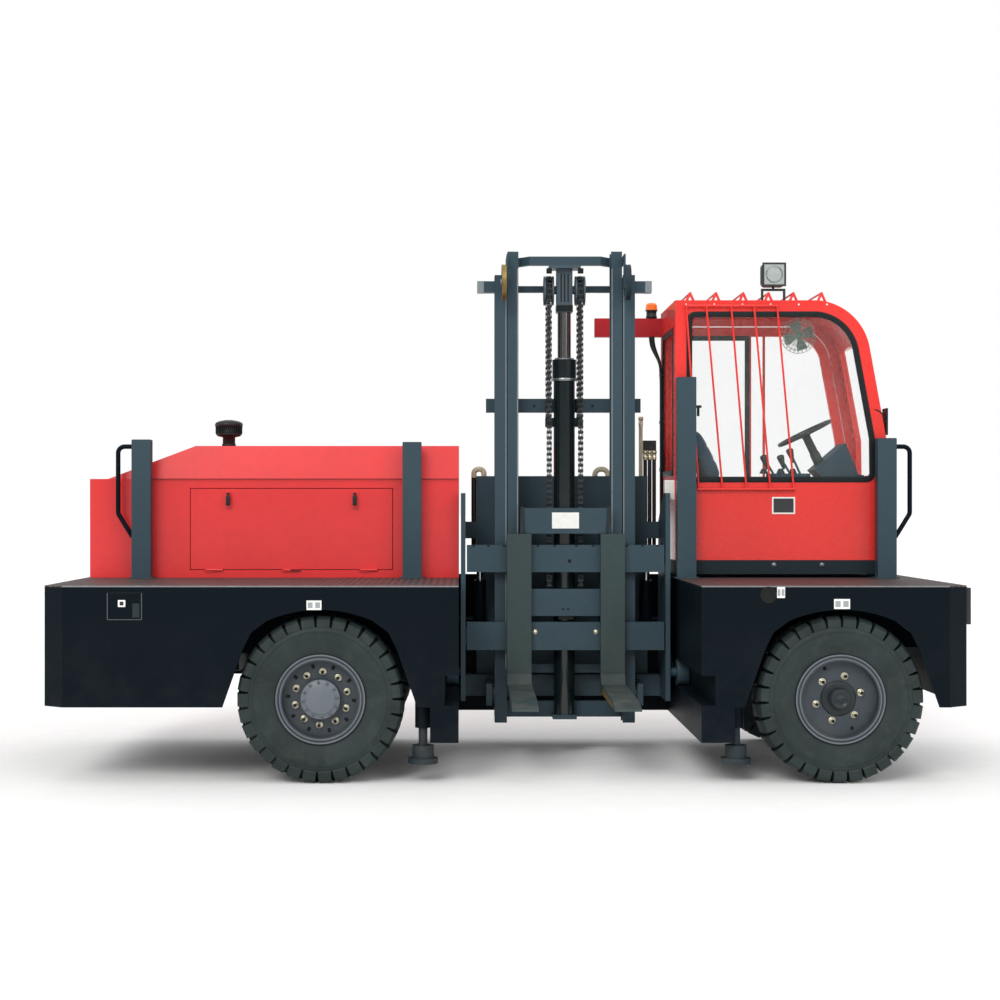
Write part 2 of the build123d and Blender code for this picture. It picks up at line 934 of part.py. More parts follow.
def hood_shell():
    """The hood's lower box: four walls, the step at its rear, the door and grille openings."""
    outer = block(hood_x0, hood_x1, hood_y0, half_width, deck_z, hood_z1)
    inner = block(hood_x0 + hood_t, hood_x1 - hood_t, hood_y0 + hood_t, half_width - hood_t,
                  deck_z - overrun, hood_z1 - hood_t)
    mouth = block(cover_x0 + hood_t, hood_x1 - hood_t, hood_y0 + hood_t, half_width - hood_t,
                  hood_z1 - 2 * hood_t, hood_z1 + overrun)
    door_hole = block(door_x0, door_x1, hood_y0 - overrun, hood_y0 + hood_t + overrun,
                      door_z0, door_z1)
    shell = cut(outer, [inner, mouth, door_hole])
    pitch = (grille_z1 - grille_z0) / grille_slats
    middle = (hood_y0 + half_width) / 2
    slots = [
        block(hood_x0 - overrun, hood_x0 + hood_t + overrun, middle - grille_w / 2,
              middle + grille_w / 2, grille_z0 + i * pitch,
              grille_z0 + (i + grille_slat_share) * pitch)
        for i in range(grille_slats)
    ]
    knuckles = []
    for share in hinge_shares:
        x = door_x0 + share * (door_x1 - door_x0)
        knuckles.append(rod("X", x - hinge_knuckle_l, x - seat_gap, hinge_y, door_z0,
                            hinge_pin_r))
        knuckles.append(block(x - hinge_knuckle_l, x - seat_gap, hinge_y, hood_y0,
                              door_z0 - 2 * hinge_pin_r, door_z0))
    return joined([cut(shell, slots)] + knuckles)


def hood_door():
    """The hood's side door with its hinge knuckles and two latches."""
    panel = block(door_x0 + run_gap, door_x1 - run_gap, hood_y0, hood_y0 + door_t,
                  door_z0 + run_gap, door_z1 - run_gap)
    pieces = [panel]
    for share in hinge_shares:
        x = door_x0 + share * (door_x1 - door_x0)
        pieces.append(rod("X", x, x + hinge_knuckle_l, hinge_y, door_z0, hinge_pin_r))
        pieces.append(block(x, x + hinge_knuckle_l, hinge_y, hood_y0 + door_t,
                            door_z0 + run_gap, door_z0 + 3 * hinge_pin_r))
        pieces.append(block(x, x + hinge_knuckle_l, hinge_y, hinge_y + hinge_pin_r,
                            door_z0, door_z0 + 3 * hinge_pin_r))
    for x in latch_xs:
        pieces.append(block(x - latch_w / 2, x + latch_w / 2, hood_y0 - latch_t, hood_y0,
                            latch_z - latch_h / 2, latch_z + latch_h / 2))
    return joined(pieces)


def cover_form(inset):
    """The sloping cover as a solid, drawn in by an even inset."""
    x0 = cover_x0 + inset
    x1 = hood_x1 - inset
    low = hood_z1 - (overrun if inset else 0)
    top = cover_z1 - inset
    profile = [(x0, low), (x0, hood_z1), (cover_slope_x + inset, top), (x1, top), (x1, low)]
    if not inset:
        profile = profile[1:]
    y0 = hood_y0 + inset
    y1 = half_width - inset
    ends = [(y0, low), (y1, low), (y1 - cover_lean, top), (y0 + cover_lean, top)]
    return side_plate(profile, hood_y0, half_width) & cross_plate(ends, hood_x0, hood_x1)


def hood_cover():
    """The hood's upper cover, open below, with its near face leaning back."""
    return cover_form(0) - cover_form(cover_t)


def engine_block():
    """The engine as one plain block on its cross members."""
    middle = (hood_y0 + half_width) / 2
    return block(engine_x0, engine_x1, middle - engine_w / 2, middle + engine_w / 2,
                 engine_z0, engine_z1)


def air_precleaner():
    """The air pre-cleaner's bowl on its neck."""
    neck = rod("Z", cover_z1, cleaner_z0, cleaner_x, cleaner_y, cleaner_neck_r)
    bowl = rod("Z", cleaner_z0, cleaner_z1, cleaner_x, cleaner_y, cleaner_r)
    bowl = chamfer(bowl.edges().filter_by(GeomType.CIRCLE), cleaner_chamfer)
    return neck + bowl


keep("tanks", [tank(-1), tank(1)])
keep("hood_shell", hood_shell())
keep("hood_door", hood_door())
keep("hood_cover", hood_cover())
keep("engine_block", engine_block())
keep("air_precleaner", air_precleaner())


# Cab


def cab_slab(inset, y0, y1):
    """The cab's side outline, drawn in by an even inset, as a solid between two values of Y."""
    lines = [
        Polyline((cab_roof_x, y0, cab_z1), (cab_x0, y0, cab_z1), (cab_x0, y0, cab_z0),
                 (cab_x1, y0, cab_z0), (cab_brow_x, y0, cab_brow_z),
                 (cab_bend_x, y0, cab_bend_z)),
        ThreePointArc((cab_bend_x, y0, cab_bend_z), (cab_arc_x, y0, cab_arc_z),
                      (cab_roof_x, y0, cab_z1)),
    ]
    face = make_face(lines)
    if inset:
        face = offset(face, amount=-inset, kind=Kind.INTERSECTION)
    return extrude(face, amount=y1 - y0, dir=(0, 1, 0))


def cab_zone(x0, x1, z0, z1):
    """A block over part of the cab's side view, wider than the cab."""
    return block(x0, x1, cab_y0 - overrun, cab_y1 + overrun, z0, z1)


def rounded_window(inset, y0, y1, sill):
    """A side window's opening as a solid: the cab's outline drawn in, above a sill."""
    form = cab_slab(inset, y0, y1) & cab_zone(cab_x0, cab_x1, sill, cab_z1)
    corners = form.edges().filter_by(Axis.Y).sort_by(Axis.Z)
    low = list(corners[:2])
    top = form.edges().filter_by(Axis.Y).sort_by(Axis.X)[0:2].sort_by(Axis.Z)[-1]
    return fillet(low + [top], cab_corner_r)


cab_base_z = cab_z0 + cab_base_h
inner_y0 = cab_y0 + cab_t
inner_y1 = cab_y1 - cab_t
far_x = cab_x1 + overrun


def cab_base():
    """The cab's floor pan with its dark sill, on four rubber mounts."""
    pan = cab_slab(0, cab_y0, cab_y1) & cab_zone(cab_x0, far_x, cab_z0, cab_base_z)
    well = block(cab_x0 + cab_t, cab_x1 - cab_t - run_gap, inner_y0, inner_y1,
                 cab_z0 + floor_t, cab_base_z + overrun)
    pieces = [pan - well]
    for x in (cab_x0 + 2 * mount_r, cab_x1 - 2 * mount_r):
        for y in (cab_y0 + 2 * mount_r, cab_y1 - 2 * mount_r):
            pieces.append(rod("Z", deck_z, cab_z0, x, y, mount_r))
    return joined(pieces)


def cab_near_side():
    """The side towards the load, with its large window cut out."""
    wall = cab_slab(0, cab_y0, inner_y0) & cab_zone(cab_x0, far_x, cab_base_z, cab_z1)
    return wall - rounded_window(window_inset, cab_y0 - overrun, inner_y0 + overrun, cab_sill_z)


def cab_far_side():
    """The side with the doorway, and the fixed halves of the door's hinges."""
    wall = cab_slab(0, inner_y1, cab_y1) & cab_zone(cab_x0, far_x, cab_base_z, cab_z1)
    doorway = cab_slab(cab_door_inset, inner_y1 - overrun, cab_y1 + overrun)
    pieces = [wall - doorway]
    for z in cab_hinge_zs:
        pieces.append(rod("Z", z, z + cab_hinge_h / 2 - seat_gap, cab_hinge_x, cab_hinge_y,
                          cab_hinge_r))
        pieces.append(block(cab_hinge_x - cab_hinge_leaf, cab_hinge_x, cab_y1, cab_hinge_y,
                            z, z + cab_hinge_h / 2 - seat_gap))
    return joined(pieces)


def door_window(y0, y1):
    """The opening of the door's window as a solid."""
    return rounded_window(cab_door_inset + cab_door_gap + door_frame, y0, y1, cab_sill_z)


def cab_door():
    """The cab's far door with its window frame bars and its halves of the hinges."""
    y0 = cab_y1 - cab_door_t
    slab = cab_slab(cab_door_inset + cab_door_gap, y0, cab_y1)
    slab = slab & cab_zone(cab_x0, far_x, cab_base_z + cab_door_gap, cab_z1)
    hole = door_window(y0 - overrun, cab_y1 + overrun)
    pieces = [slab - hole]
    for x in slide_bar_xs:
        bar = block(x - slide_bar_w / 2, x + slide_bar_w / 2, y0, y0 + slide_bar_d,
                    cab_base_z, cab_z1)
        pieces.append(bar & hole)
    for z in cab_hinge_zs:
        z0 = z + cab_hinge_h / 2
        pieces.append(rod("Z", z0, z + cab_hinge_h, cab_hinge_x, cab_hinge_y, cab_hinge_r))
        pieces.append(block(cab_hinge_x, cab_hinge_x + cab_hinge_leaf, cab_y1, cab_hinge_y,
                            z0, z + cab_hinge_h))
    handle_x = cab_brow_x - cab_door_inset - 2 * door_frame
    pieces.append(block(handle_x, handle_x + door_handle_l, cab_y1, cab_y1 + cab_hinge_r,
                        door_handle_z, door_handle_z + slide_bar_w))
    return joined(pieces)


def cab_band(x0, x1, z0, z1):
    """A stretch of the bent wall that runs round the cab between its two sides."""
    ring_form = cab_slab(0, inner_y0, inner_y1) - cab_slab(cab_t, cab_y0, cab_y1)
    return ring_form & cab_zone(x0, x1, z0, z1)


def screen_zone(z0, z1, x0, x1):
    """The block that cuts the windscreen or the rear window."""
    return block(x0, x1, inner_y0 + screen_y_inset, inner_y1 - screen_y_inset, z0, z1)


def glass_sheet(middle):
    """A thin copy of the cab's bent wall in the middle of its thickness."""
    inset = (cab_t - glass_t) / 2
    sheet = cab_slab(inset, inner_y0, inner_y1) - cab_slab(inset + glass_t, cab_y0, cab_y1)
    return sheet & middle


cab_mid_x = (cab_x0 + cab_x1) / 2
screen = screen_zone(rear_window_z0, screen_z1 - screen_y_inset, cab_mid_x, far_x)
rear_window = screen_zone(rear_window_z0, rear_window_z1, cab_x0 - overrun, cab_mid_x)


def cab_glass():
    """The fixed panes: near side, windscreen and rear."""
    side_y = cab_y0 + (cab_t - glass_t) / 2
    near = rounded_window(window_inset, side_y, side_y + glass_t, cab_sill_z)
    return [near, glass_sheet(screen), glass_sheet(rear_window)]


def bar_between(p, q, radius):
    """A round bar from one point to another."""
    start = Vector(*p)
    run = Vector(*q) - start
    place = Plane(origin=start, z_dir=run)
    return place * Pos(0, 0, run.length / 2) * Cylinder(radius, run.length)


def cab_guard():
    """Slanted bars before the near window, and raised bars over the roof."""
    tops = [x for x, _ in guard_bars]
    bottoms = [x for _, x in guard_bars]
    rail_r = guard_r * guard_rail_share
    pieces = [
        rod("X", tops[0] - rail_r, tops[-1] + rail_r, guard_y, guard_top_z, rail_r),
        rod("X", bottoms[0] - rail_r, bottoms[-1] + rail_r, guard_y, guard_bottom_z, rail_r),
    ]
    for top, bottom in guard_bars:
        pieces.append(bar_between((bottom, guard_y, guard_bottom_z), (top, guard_y, guard_top_z),
                                  guard_r))
    for x, z in ((tops[0], guard_top_z), (tops[-1], guard_top_z), (bottoms[0], guard_bottom_z),
                 (bottoms[-1], guard_bottom_z)):
        pieces.append(rod("Y", guard_y, cab_y0, x, z, guard_r))
    solids = [joined(pieces)]
    ridge = cab_z1 + roof_bar_rise
    for x in roof_bar_xs:
        y0 = cab_y0 + roof_bar_in
        y1 = cab_y1 - roof_bar_in
        bar = rod("Y", y0, y1, x, ridge, guard_r)
        legs = [
            bar_between((x + s * roof_bar_foot, y, cab_z1 - 2 * guard_r), (x, y, ridge), rail_r)
            for y in (y0 + rail_r, y1 - rail_r) for s in (-1, 1)
        ]
        solids.append(joined([bar] + legs) - cab_slab(0, cab_y0, cab_y1))
    return solids


keep("cab_base", cab_base())
keep("cab_near_side", cab_near_side())
keep("cab_far_side", cab_far_side())
keep("cab_rear_wall", cab_band(cab_x0, cab_x0 + cab_t, cab_base_z, cab_z1) - rear_window)
keep("cab_front_wall", cab_band(cab_x0 + cab_t, far_x, cab_base_z, screen_z1) - screen)
keep("cab_roof", cab_band(cab_x0 + cab_t, far_x, screen_z1, cab_z1))
keep("cab_glass", cab_glass())
keep("cab_door", cab_door())
door_pane_y = cab_y1 - (cab_door_t - glass_t) / 2
keep("cab_door_glass", door_window(door_pane_y - glass_t, door_pane_y))
keep("cab_guard", cab_guard())


# Lamps, beacon and the driver's place


def lamp_set():
    """The work lamp on its roof bracket and the two end lamps."""
    half = lamp_w / 2
    y0 = lamp_y - lamp_d / 2
    head = block(lamp_x - half, lamp_x + half, y0, y0 + lamp_d, lamp_z - half, lamp_z + half)
    head = fillet(head.edges().filter_by(Axis.Y), lamp_corner_r)
    reach = lamp_bracket_w / 2
    bar_r = lamp_bar / 2
    bar = block(lamp_x - reach, lamp_x + reach, lamp_y - bar_r, lamp_y + bar_r,
                lamp_bracket_z - bar_r, lamp_bracket_z + bar_r)
    legs = [
        block(lamp_x + s * (reach - bar_r) - bar_r, lamp_x + s * (reach - bar_r) + bar_r,
              lamp_y - bar_r, lamp_y + bar_r, cab_z1, lamp_bracket_z)
        for s in (-1, 1)
    ]
    stem = rod("Z", lamp_bracket_z, lamp_z - half, lamp_x, lamp_y, bar_r)
    lamps = [joined([head, bar, stem] + legs)]
    for s in (-1, 1):
        y = s * end_lamp_y
        lamps.append(block(half_length, half_length + end_lamp_d, y - end_lamp_w / 2,
                           y + end_lamp_w / 2, end_lamp_z0, end_lamp_z0 + end_lamp_h))
    return lamps


def beacon():
    """The amber beacon on its black base."""
    z = beam_z1
    base = rod("Z", z, z + beacon_base_h, beacon_x, beam_y0 + beam_w / 2,
               beacon_r * beacon_base_share)
    lens = rod("Z", z + beacon_base_h, z + beacon_base_h + beacon_h, beacon_x,
               beam_y0 + beam_w / 2, beacon_r)
    return base + lens


def driver_seat():
    """The driver's seat: plinth, cushion and leaning back."""
    y0 = seat_y - seat_w / 2
    y1 = seat_y + seat_w / 2
    cushion_z0 = seat_cushion_z - seat_cushion_t
    cushion = block(seat_x0 + seat_lean, seat_x0 + seat_lean + seat_cushion_l, y0, y1,
                    cushion_z0, seat_cushion_z)
    back = side_plate([(seat_x0, seat_back_z), (seat_x0 + seat_back_t, seat_back_z),
                       (seat_x0 + seat_lean + seat_back_t, seat_cushion_z),
                       (seat_x0 + seat_lean, cushion_z0), (seat_x0 + seat_lean, seat_cushion_z)],
                      y0, y1)
    plinth = block(seat_x0 + seat_lean + seat_plinth_in,
                   seat_x0 + seat_lean + seat_cushion_l - seat_plinth_in,
                   seat_y - seat_plinth_w / 2, seat_y + seat_plinth_w / 2,
                   cab_z0 + floor_t, cushion_z0)
    return joined([cushion, back, plinth])


def cab_controls():
    """The front console, the instrument pod and the lever box with its levers."""
    floor = cab_z0 + floor_t
    console = side_plate([(console_x0, floor), (console_x1, floor), (console_x1, console_sill_z),
                          (console_x0, console_sill_z)],
                         seat_y - console_w / 2, seat_y + console_w / 2)
    pod = side_plate([(console_x0, console_sill_z - overrun),
                      (console_x1, console_sill_z - overrun),
                      (console_x1, console_sill_z), (console_pod_x1, console_z1),
                      (console_pod_x0, console_pod_z0)],
                     seat_y - console_pod_w / 2, seat_y + console_pod_w / 2)
    box = block(lever_box_x0, lever_box_x1, lever_y - lever_box_w / 2, lever_y + lever_box_w / 2,
                floor, lever_box_z1)
    levers = []
    for x, z in lever_knobs:
        foot = (x + lever_lean, lever_y, lever_box_z1 - overrun)
        levers.append(bar_between(foot, (x, lever_y, z), lever_r))
        levers.append(Pos(x, lever_y, z) * Sphere(lever_knob_r))
    return [console + pod, joined([box] + levers)]


def steering_wheel():
    """The steering wheel on its column."""
    place = Pos(wheel_x, seat_y, wheel_zc) * Rot(0, -steer_wheel_tilt, 0)
    rim_ring = place * Torus(steer_wheel_r, steer_wheel_tube)
    hub = place * Cylinder(column_r * 2, steer_wheel_tube * 2)
    spokes = [
        place * Rot(0, 90, angle) * Pos(0, 0, steer_wheel_r / 2) * Cylinder(spoke_r, steer_wheel_r)
        for angle in (0, 120, 240)
    ]
    column = place * Pos(0, 0, -column_l / 2) * Cylinder(column_r, column_l)
    wheel = joined([rim_ring, hub, column] + spokes)
    return wheel - parts["cab_controls"]


def cab_fan():
    """The round cage fan hung from the roof."""
    cage = rod("Y", fan_y - fan_d / 2, fan_y + fan_d / 2, fan_x, fan_z, fan_r)
    stem = rod("Z", fan_z, cab_z1 - cab_t, fan_x, fan_y, lamp_bar)
    return cage + stem


keep("lamps", lamp_set())
keep("beacon_beam", block(beam_x0, cab_x0, beam_y0, beam_y0 + beam_w, beam_z0, beam_z1))
keep("beacon", beacon())
keep("driver_seat", driver_seat())
keep("cab_controls", cab_controls())
keep("steering_wheel", steering_wheel())
keep("cab_fan", cab_fan())


# Mast


mast_y1 = mast_y0 + mast_d
outer_in = outer_half - outer_w
inner_out = outer_in - mast_side_gap
inner_in = inner_out - inner_w
upright_x = inner_in - upright_inset
carriage_plate_half = upright_x
top_box_half = upright_x + top_box_over
inner_rail_y0 = mast_y0 + inner_inset
inner_rail_y1 = mast_y1 - inner_inset


def across(half, y0, y1, z0, z1):
    """A block that runs across the mast, as far to each side of its middle."""
    return block(mast_x - half, mast_x + half, y0, y1, z0, z1)


def left(near, far, y0, y1, z0, z1):
    """A block on the mast's rear side, between two distances from its middle."""
    return block(mast_x - far, mast_x - near, y0, y1, z0, z1)


def left_rod(near, far, y, z, radius):
    """A round bar along X on the mast's rear side, between two distances from its middle."""
    return rod("X", mast_x - far, mast_x - near, y, z, radius)


def outer_mast():
    """Outer mast: two channels, three ties behind them, pivots and tilt cylinder lugs."""
    rail = left(outer_in, outer_half, mast_y0, mast_y1, outer_z0, outer_z1)
    hollow = left(outer_in - overrun, outer_half - outer_web_t, mast_y0 + flange_t,
                  mast_y1 - flange_t, outer_z0 - overrun, outer_z1 + overrun)
    side = [rail - hollow]
    for z, h in ((mid_tie_z, mid_tie_h), (top_tie_z, top_tie_h)):
        side.append(left(outer_in, outer_half, mast_y1, tie_y0, z - h / 2, z + h / 2))
    stub_y = (mast_y0 + mast_y1) / 2
    side.append(left(outer_half, outer_half + stub_l, stub_y - stub_h / 2, stub_y + stub_h / 2,
                     top_tie_z - stub_h / 2, top_tie_z + stub_h / 2))
    side.append(left_rod(outer_half, outer_half + pivot_boss_t, pivot_y, pivot_z, pivot_boss_r))
    side.append(left_rod(outer_half, pivot_arm_x + pivot_arm_t, pivot_y, pivot_z, pivot_r))
    lug_in = tilt_eye_w / 2 + run_gap
    side.append(left(outer_half, tilt_x + lug_in + tilt_lug_t, tilt_arm_y0,
                     tilt_arm_y0 + tilt_arm_d, tilt_eye_z - tilt_arm_h / 2,
                     tilt_eye_z + tilt_arm_h / 2))
    for x in (tilt_x - lug_in - tilt_lug_t, tilt_x + lug_in):
        side.append(left(x, x + tilt_lug_t, tilt_arm_y0 + tilt_arm_d, tilt_eye_y + tilt_lug_h / 2,
                         tilt_eye_z - tilt_lug_h / 2, tilt_eye_z + tilt_lug_h / 2))
    side.append(left_rod(tilt_x - lug_in - tilt_lug_t, tilt_x + lug_in + tilt_lug_t,
                         tilt_eye_y, tilt_eye_z,
                         tilt_pin_r))
    pieces = both_mast_sides(joined(side))
    pieces.append(across(outer_half + mid_stub_l, tie_y0, tie_y0 + tie_d,
                         mid_tie_z - mid_tie_h / 2, mid_tie_z + mid_tie_h / 2))
    pieces.append(across(outer_half, tie_y0, tie_y0 + tie_d, top_tie_z - top_tie_h / 2,
                         top_tie_z + top_tie_h / 2))
    pieces.append(across(outer_half, mast_y1, tie_y0 + tie_d, foot_tie_z,
                         foot_tie_z + foot_tie_h))
    pieces.append(across(lift_gland_r, lift_y - lift_gland_r, mast_y1, foot_tie_z,
                         lift_barrel_z0))
    return joined(pieces)


def lift_barrel():
    """The lift cylinder's barrel with its gland and the chain clamps on its back."""
    barrel = rod("Z", lift_barrel_z0, lift_barrel_z1, mast_x, lift_y, lift_barrel_r)
    gland = rod("Z", lift_barrel_z1 - lift_gland_h, lift_barrel_z1, mast_x, lift_y, lift_gland_r)
    bore = rod("Z", lift_barrel_z0 + lift_gland_h, lift_barrel_z1 + overrun, mast_x, lift_y,
               lift_rod_r + seat_gap)
    chain_y = lift_y + sheave_pitch_r
    half = chain_x + chain_w / 2
    clamp = across(half, lift_y, chain_y + chain_d / 2, back_anchor_z - clamp_h, back_anchor_z)
    tie_link = across(lift_barrel_r / 2, lift_y, tie_y0, mid_tie_z - mid_tie_h / 2,
                      mid_tie_z + mid_tie_h / 2)
    return joined([barrel, gland, clamp, tie_link]) - bore


def inner_mast():
    """Inner mast: two channels with rollers, the cranked crown and the tie at the foot."""
    rail = left(inner_in, inner_out, inner_rail_y0, inner_rail_y1, inner_z0, inner_z1)
    hollow = left(inner_in - overrun, inner_out - inner_web_t, inner_rail_y0 + flange_t,
                  inner_rail_y1 - flange_t, inner_z0 - overrun, inner_z1 + overrun)
    side = [rail - hollow]
    roller_r = mast_d / 2 - flange_t - roller_gap
    roller_x = outer_in + (outer_w - outer_web_t - roller_w) / 2
    for z in roller_zs:
        side.append(left_rod(roller_x, roller_x + roller_w, lift_y, z, roller_r))
        side.append(left_rod(inner_out - inner_web_t / 2, roller_x, lift_y, z, roller_pin_r))
    side.append(left(inner_in, inner_out, inner_rail_y1, inner_tie_y0, inner_tie_z,
                     inner_tie_z + inner_tie_h))
    front = pulley_y - pulley_plate_w / 2
    side.append(left(inner_out, inner_out + pulley_plate_t, front, inner_rail_y1,
                     crown_z0, crown_z0 + crown_h))
    side.append(left(inner_out, inner_out + pulley_plate_t, front, front + pulley_plate_w,
                     pulley_z - pulley_plate_w / 2, crown_z0 + crown_h))
    x = inner_out + pulley_plate_t
    pulley = left_rod(x, x + pulley_w, pulley_y, pulley_z, pulley_r)
    groove = (left_rod(x + pulley_groove, x + pulley_w - pulley_groove, pulley_y, pulley_z,
                       pulley_r + overrun)
              - left_rod(x, x + pulley_w, pulley_y, pulley_z, pulley_r - pulley_groove))
    side.append(pulley - groove)
    pieces = both_mast_sides(joined(side))
    mid = inner_out * crown_mid_share
    bend = inner_out * crown_bend_share
    y0 = crown_y0
    y1 = crown_y0 + crown_crank
    end = inner_out - inner_web_t
    plan = [(-end, y1), (-bend, y1), (-mid, y0), (mid, y0), (bend, y1), (end, y1)]
    back = [(x, y + crown_d) for x, y in plan[::-1]]
    outline = Polyline([(mast_x + x, y, crown_z0) for x, y in plan + back], close=True)
    pieces.append(extrude(make_face(outline), amount=crown_h, dir=(0, 0, 1)))
    pieces.append(across(inner_out, inner_tie_y0, inner_tie_y0 + inner_tie_d, inner_tie_z,
                         inner_tie_z + inner_tie_h))
    return joined(pieces)


def lift_rod():
    """The lift cylinder's rod with its crosshead and the two chain sheaves."""
    rod_z0 = lift_barrel_z0 + lift_gland_h + 2 * overrun
    pieces = [
        rod("Z", rod_z0, lift_rod_z1, mast_x, lift_y, lift_rod_r),
        across(yoke_w / 2, lift_y - yoke_d / 2, lift_y + yoke_d / 2, lift_rod_z1, crown_z0),
        across(yoke_w, crown_y0, lift_y + yoke_d / 2, crown_z0 - yoke_cap_t, crown_z0),
        rod("X", mast_x - chain_x - sheave_w / 2, mast_x + chain_x + sheave_w / 2, lift_y,
            sheave_z, sheave_bore_r),
    ]
    near = chain_x - sheave_w / 2
    disc = left_rod(near, near + sheave_w, lift_y, sheave_z, sheave_rim_r)
    lip = (sheave_w - chain_w) / 2 - sheave_play
    groove = (left_rod(near + lip, near + sheave_w - lip, lift_y, sheave_z,
                       sheave_rim_r + overrun)
              - left_rod(near, near + sheave_w, lift_y, sheave_z,
                         sheave_pitch_r - chain_d / 2 - seat_gap))
    pieces += both_mast_sides(disc - groove)
    return joined(pieces)


def chain_wrap():
    """The chains' half turns over the sheaves."""
    r0 = sheave_pitch_r - chain_d / 2
    r1 = sheave_pitch_r + chain_d / 2
    near = chain_x - chain_w / 2
    turn = (left_rod(near, near + chain_w, lift_y, sheave_z, r1)
            - left_rod(near - overrun, near + chain_w + overrun, lift_y, sheave_z, r0))
    below = left(near - overrun, near + chain_w + overrun, lift_y - 2 * r1, lift_y + 2 * r1,
                 sheave_z - 2 * r1, sheave_z)
    return both_mast_sides(turn - below)


def chain_strand(y, z0, z1):
    """One straight strand on each side of the lift cylinder."""
    strand = left(chain_x - chain_w / 2, chain_x + chain_w / 2, y - chain_d / 2, y + chain_d / 2,
                  z0, z1)
    return both_mast_sides(strand)


pivot_arm_x = outer_half + pivot_boss_t + run_gap
keep("outer_mast", outer_mast())
keep("lift_barrel", lift_barrel())
keep("inner_mast", inner_mast())
keep("lift_rod", lift_rod())
keep("chain_wraps", chain_wrap())
keep("chain_front", chain_strand(lift_y - sheave_pitch_r, chain_anchor_z, sheave_z))
keep("chain_back", chain_strand(lift_y + sheave_pitch_r, back_anchor_z, sheave_z))


# Fork carriage, forks, traverse frame, tilt cylinders


def fork_carriage():
    """The carriage: two bars, centre plate, top box, uprights with rollers, chain anchors."""
    back = bar_y0 + bar_d
    pieces = [across(bar_half, bar_y0, back, z, z + h) for z, h in bar_rows]
    pieces.append(across(carriage_plate_half, back - carriage_plate_d, back, carriage_plate_z0,
                         carriage_plate_z0 + carriage_plate_h))
    pieces.append(across(top_box_half, back - top_box_d, back, top_box_z0,
                         top_box_z0 + top_box_h))
    top = top_box_z0 + top_box_h - upright_drop
    side = [left(upright_x - upright_w / 2, upright_x + upright_w / 2, back, cheek_y1,
                 upright_z0, top)]
    roller_r = (inner_rail_y1 - inner_rail_y0) / 2 - flange_t - roller_gap
    roller_x = inner_in + (inner_w - inner_web_t - roller_w) / 2
    for z in carriage_roller_zs:
        side.append(left_rod(roller_x, roller_x + roller_w, lift_y, z, roller_r))
        side.append(left_rod(upright_x, roller_x, lift_y, z, roller_pin_r))
    near = chain_x - chain_w / 2
    side.append(left(near, near + chain_w, back, lift_y - sheave_pitch_r + chain_d / 2,
                     chain_anchor_z - anchor_h, chain_anchor_z))
    return joined(pieces + both_mast_sides(joined(side)))


def fork():
    """One fork: shank, heel, tapered blade and the hook over the top bar."""
    front = bar_y0 - fork_shank_t
    tip = front - fork_length
    taper_y = front - fork_length * fork_taper_share
    points = [
        (bar_y0, fork_z0 + fork_heel_cut), (bar_y0 - fork_heel_cut, fork_z0), (tip, fork_z0),
        (tip, fork_z0 + fork_tip_t), (taper_y, fork_z0 + fork_heel_t * fork_taper_share),
        (front - fork_shank_t, fork_z0 + fork_heel_t),
        (front, fork_z0 + fork_heel_t + fork_shank_t),
        (front, fork_z1), (bar_y0, fork_z1),
    ]
    x0 = mast_x - fork_x - fork_w / 2
    blade = cross_plate(points, x0, x0 + fork_w)
    bar_top = bar_rows[0][0] + bar_rows[0][1]
    hook = block(x0, x0 + fork_w, bar_y0, bar_y0 + bar_d, bar_top, bar_top + fork_hook_h)
    return blade + hook


def traverse_frame():
    """The frame that carries the mast along the well: side plates, ties, back plate, rollers."""
    outline = [(side_y0, side_z0), (side_y1, side_z0), (side_y1, side_knee_z),
               (side_top_y1, side_z1), (side_y0, side_z1)]
    inside = side_half - side_t
    side = [cross_plate(outline, mast_x - side_half, mast_x - inside)]
    arm = left(pivot_arm_x, pivot_arm_x + pivot_arm_t, pivot_y - pivot_arm_h / 2, sole_y0,
               pivot_z - pivot_arm_h / 2, pivot_z + pivot_arm_h / 2)
    hole = left_rod(outer_half, pivot_arm_x + 2 * pivot_arm_t, pivot_y, pivot_z,
                    pivot_r + seat_gap)
    side.append(arm - hole)
    lug_in = tilt_eye_w / 2 + run_gap
    for x in (tilt_x - lug_in - tilt_lug_t, tilt_x + lug_in):
        side.append(left(x, x + tilt_lug_t, tilt_base_y - tilt_lug_h / 2, side_y1 - side_tie_d,
                         tilt_base_z - tilt_lug_h / 2, tilt_base_z + tilt_lug_h / 2))
    side.append(left_rod(tilt_x - lug_in - tilt_lug_t, tilt_x + lug_in + tilt_lug_t, tilt_base_y,
                         tilt_base_z, tilt_pin_r))
    pieces = both_mast_sides(joined(side[:1]))
    rest = both_mast_sides(joined(side[2:]))
    arms = both_mast_sides(side[1])
    cross = [across(inside, sole_y0, side_y1, side_z0, side_z0 + sole_h)]
    for z, h in side_ties:
        cross.append(across(inside, side_y1 - side_tie_d, side_y1, z, z + h))
    cross.append(across(back_half, back_y0, back_y0 + back_t, side_z0 + sole_h, back_z1))
    track_z0 = channel_z0 + channel_t + track_roller_gap
    roller_r = (channel_h - 2 * channel_t - track_roller_gap - track_roller_top_gap) / 2
    rollers = []
    inner_web = channel_d - channel_t - run_gap
    spans = [
        (rear_well_x - inner_web, rear_well_x, mast_x - inside),
        (front_well_x, front_well_x + inner_web, mast_x + inside),
    ]
    for x0, x1, plate_x in spans:
        pin_x0, pin_x1 = sorted((plate_x, (x0 + x1) / 2))
        for y in track_roller_ys:
            rollers.append(rod("X", x0, x1, y, track_z0 + roller_r, roller_r))
            rollers.append(rod("X", pin_x0, pin_x1, y, track_z0 + roller_r, track_roller_pin_r))
    return joined(pieces + cross + arms + rest + rollers)


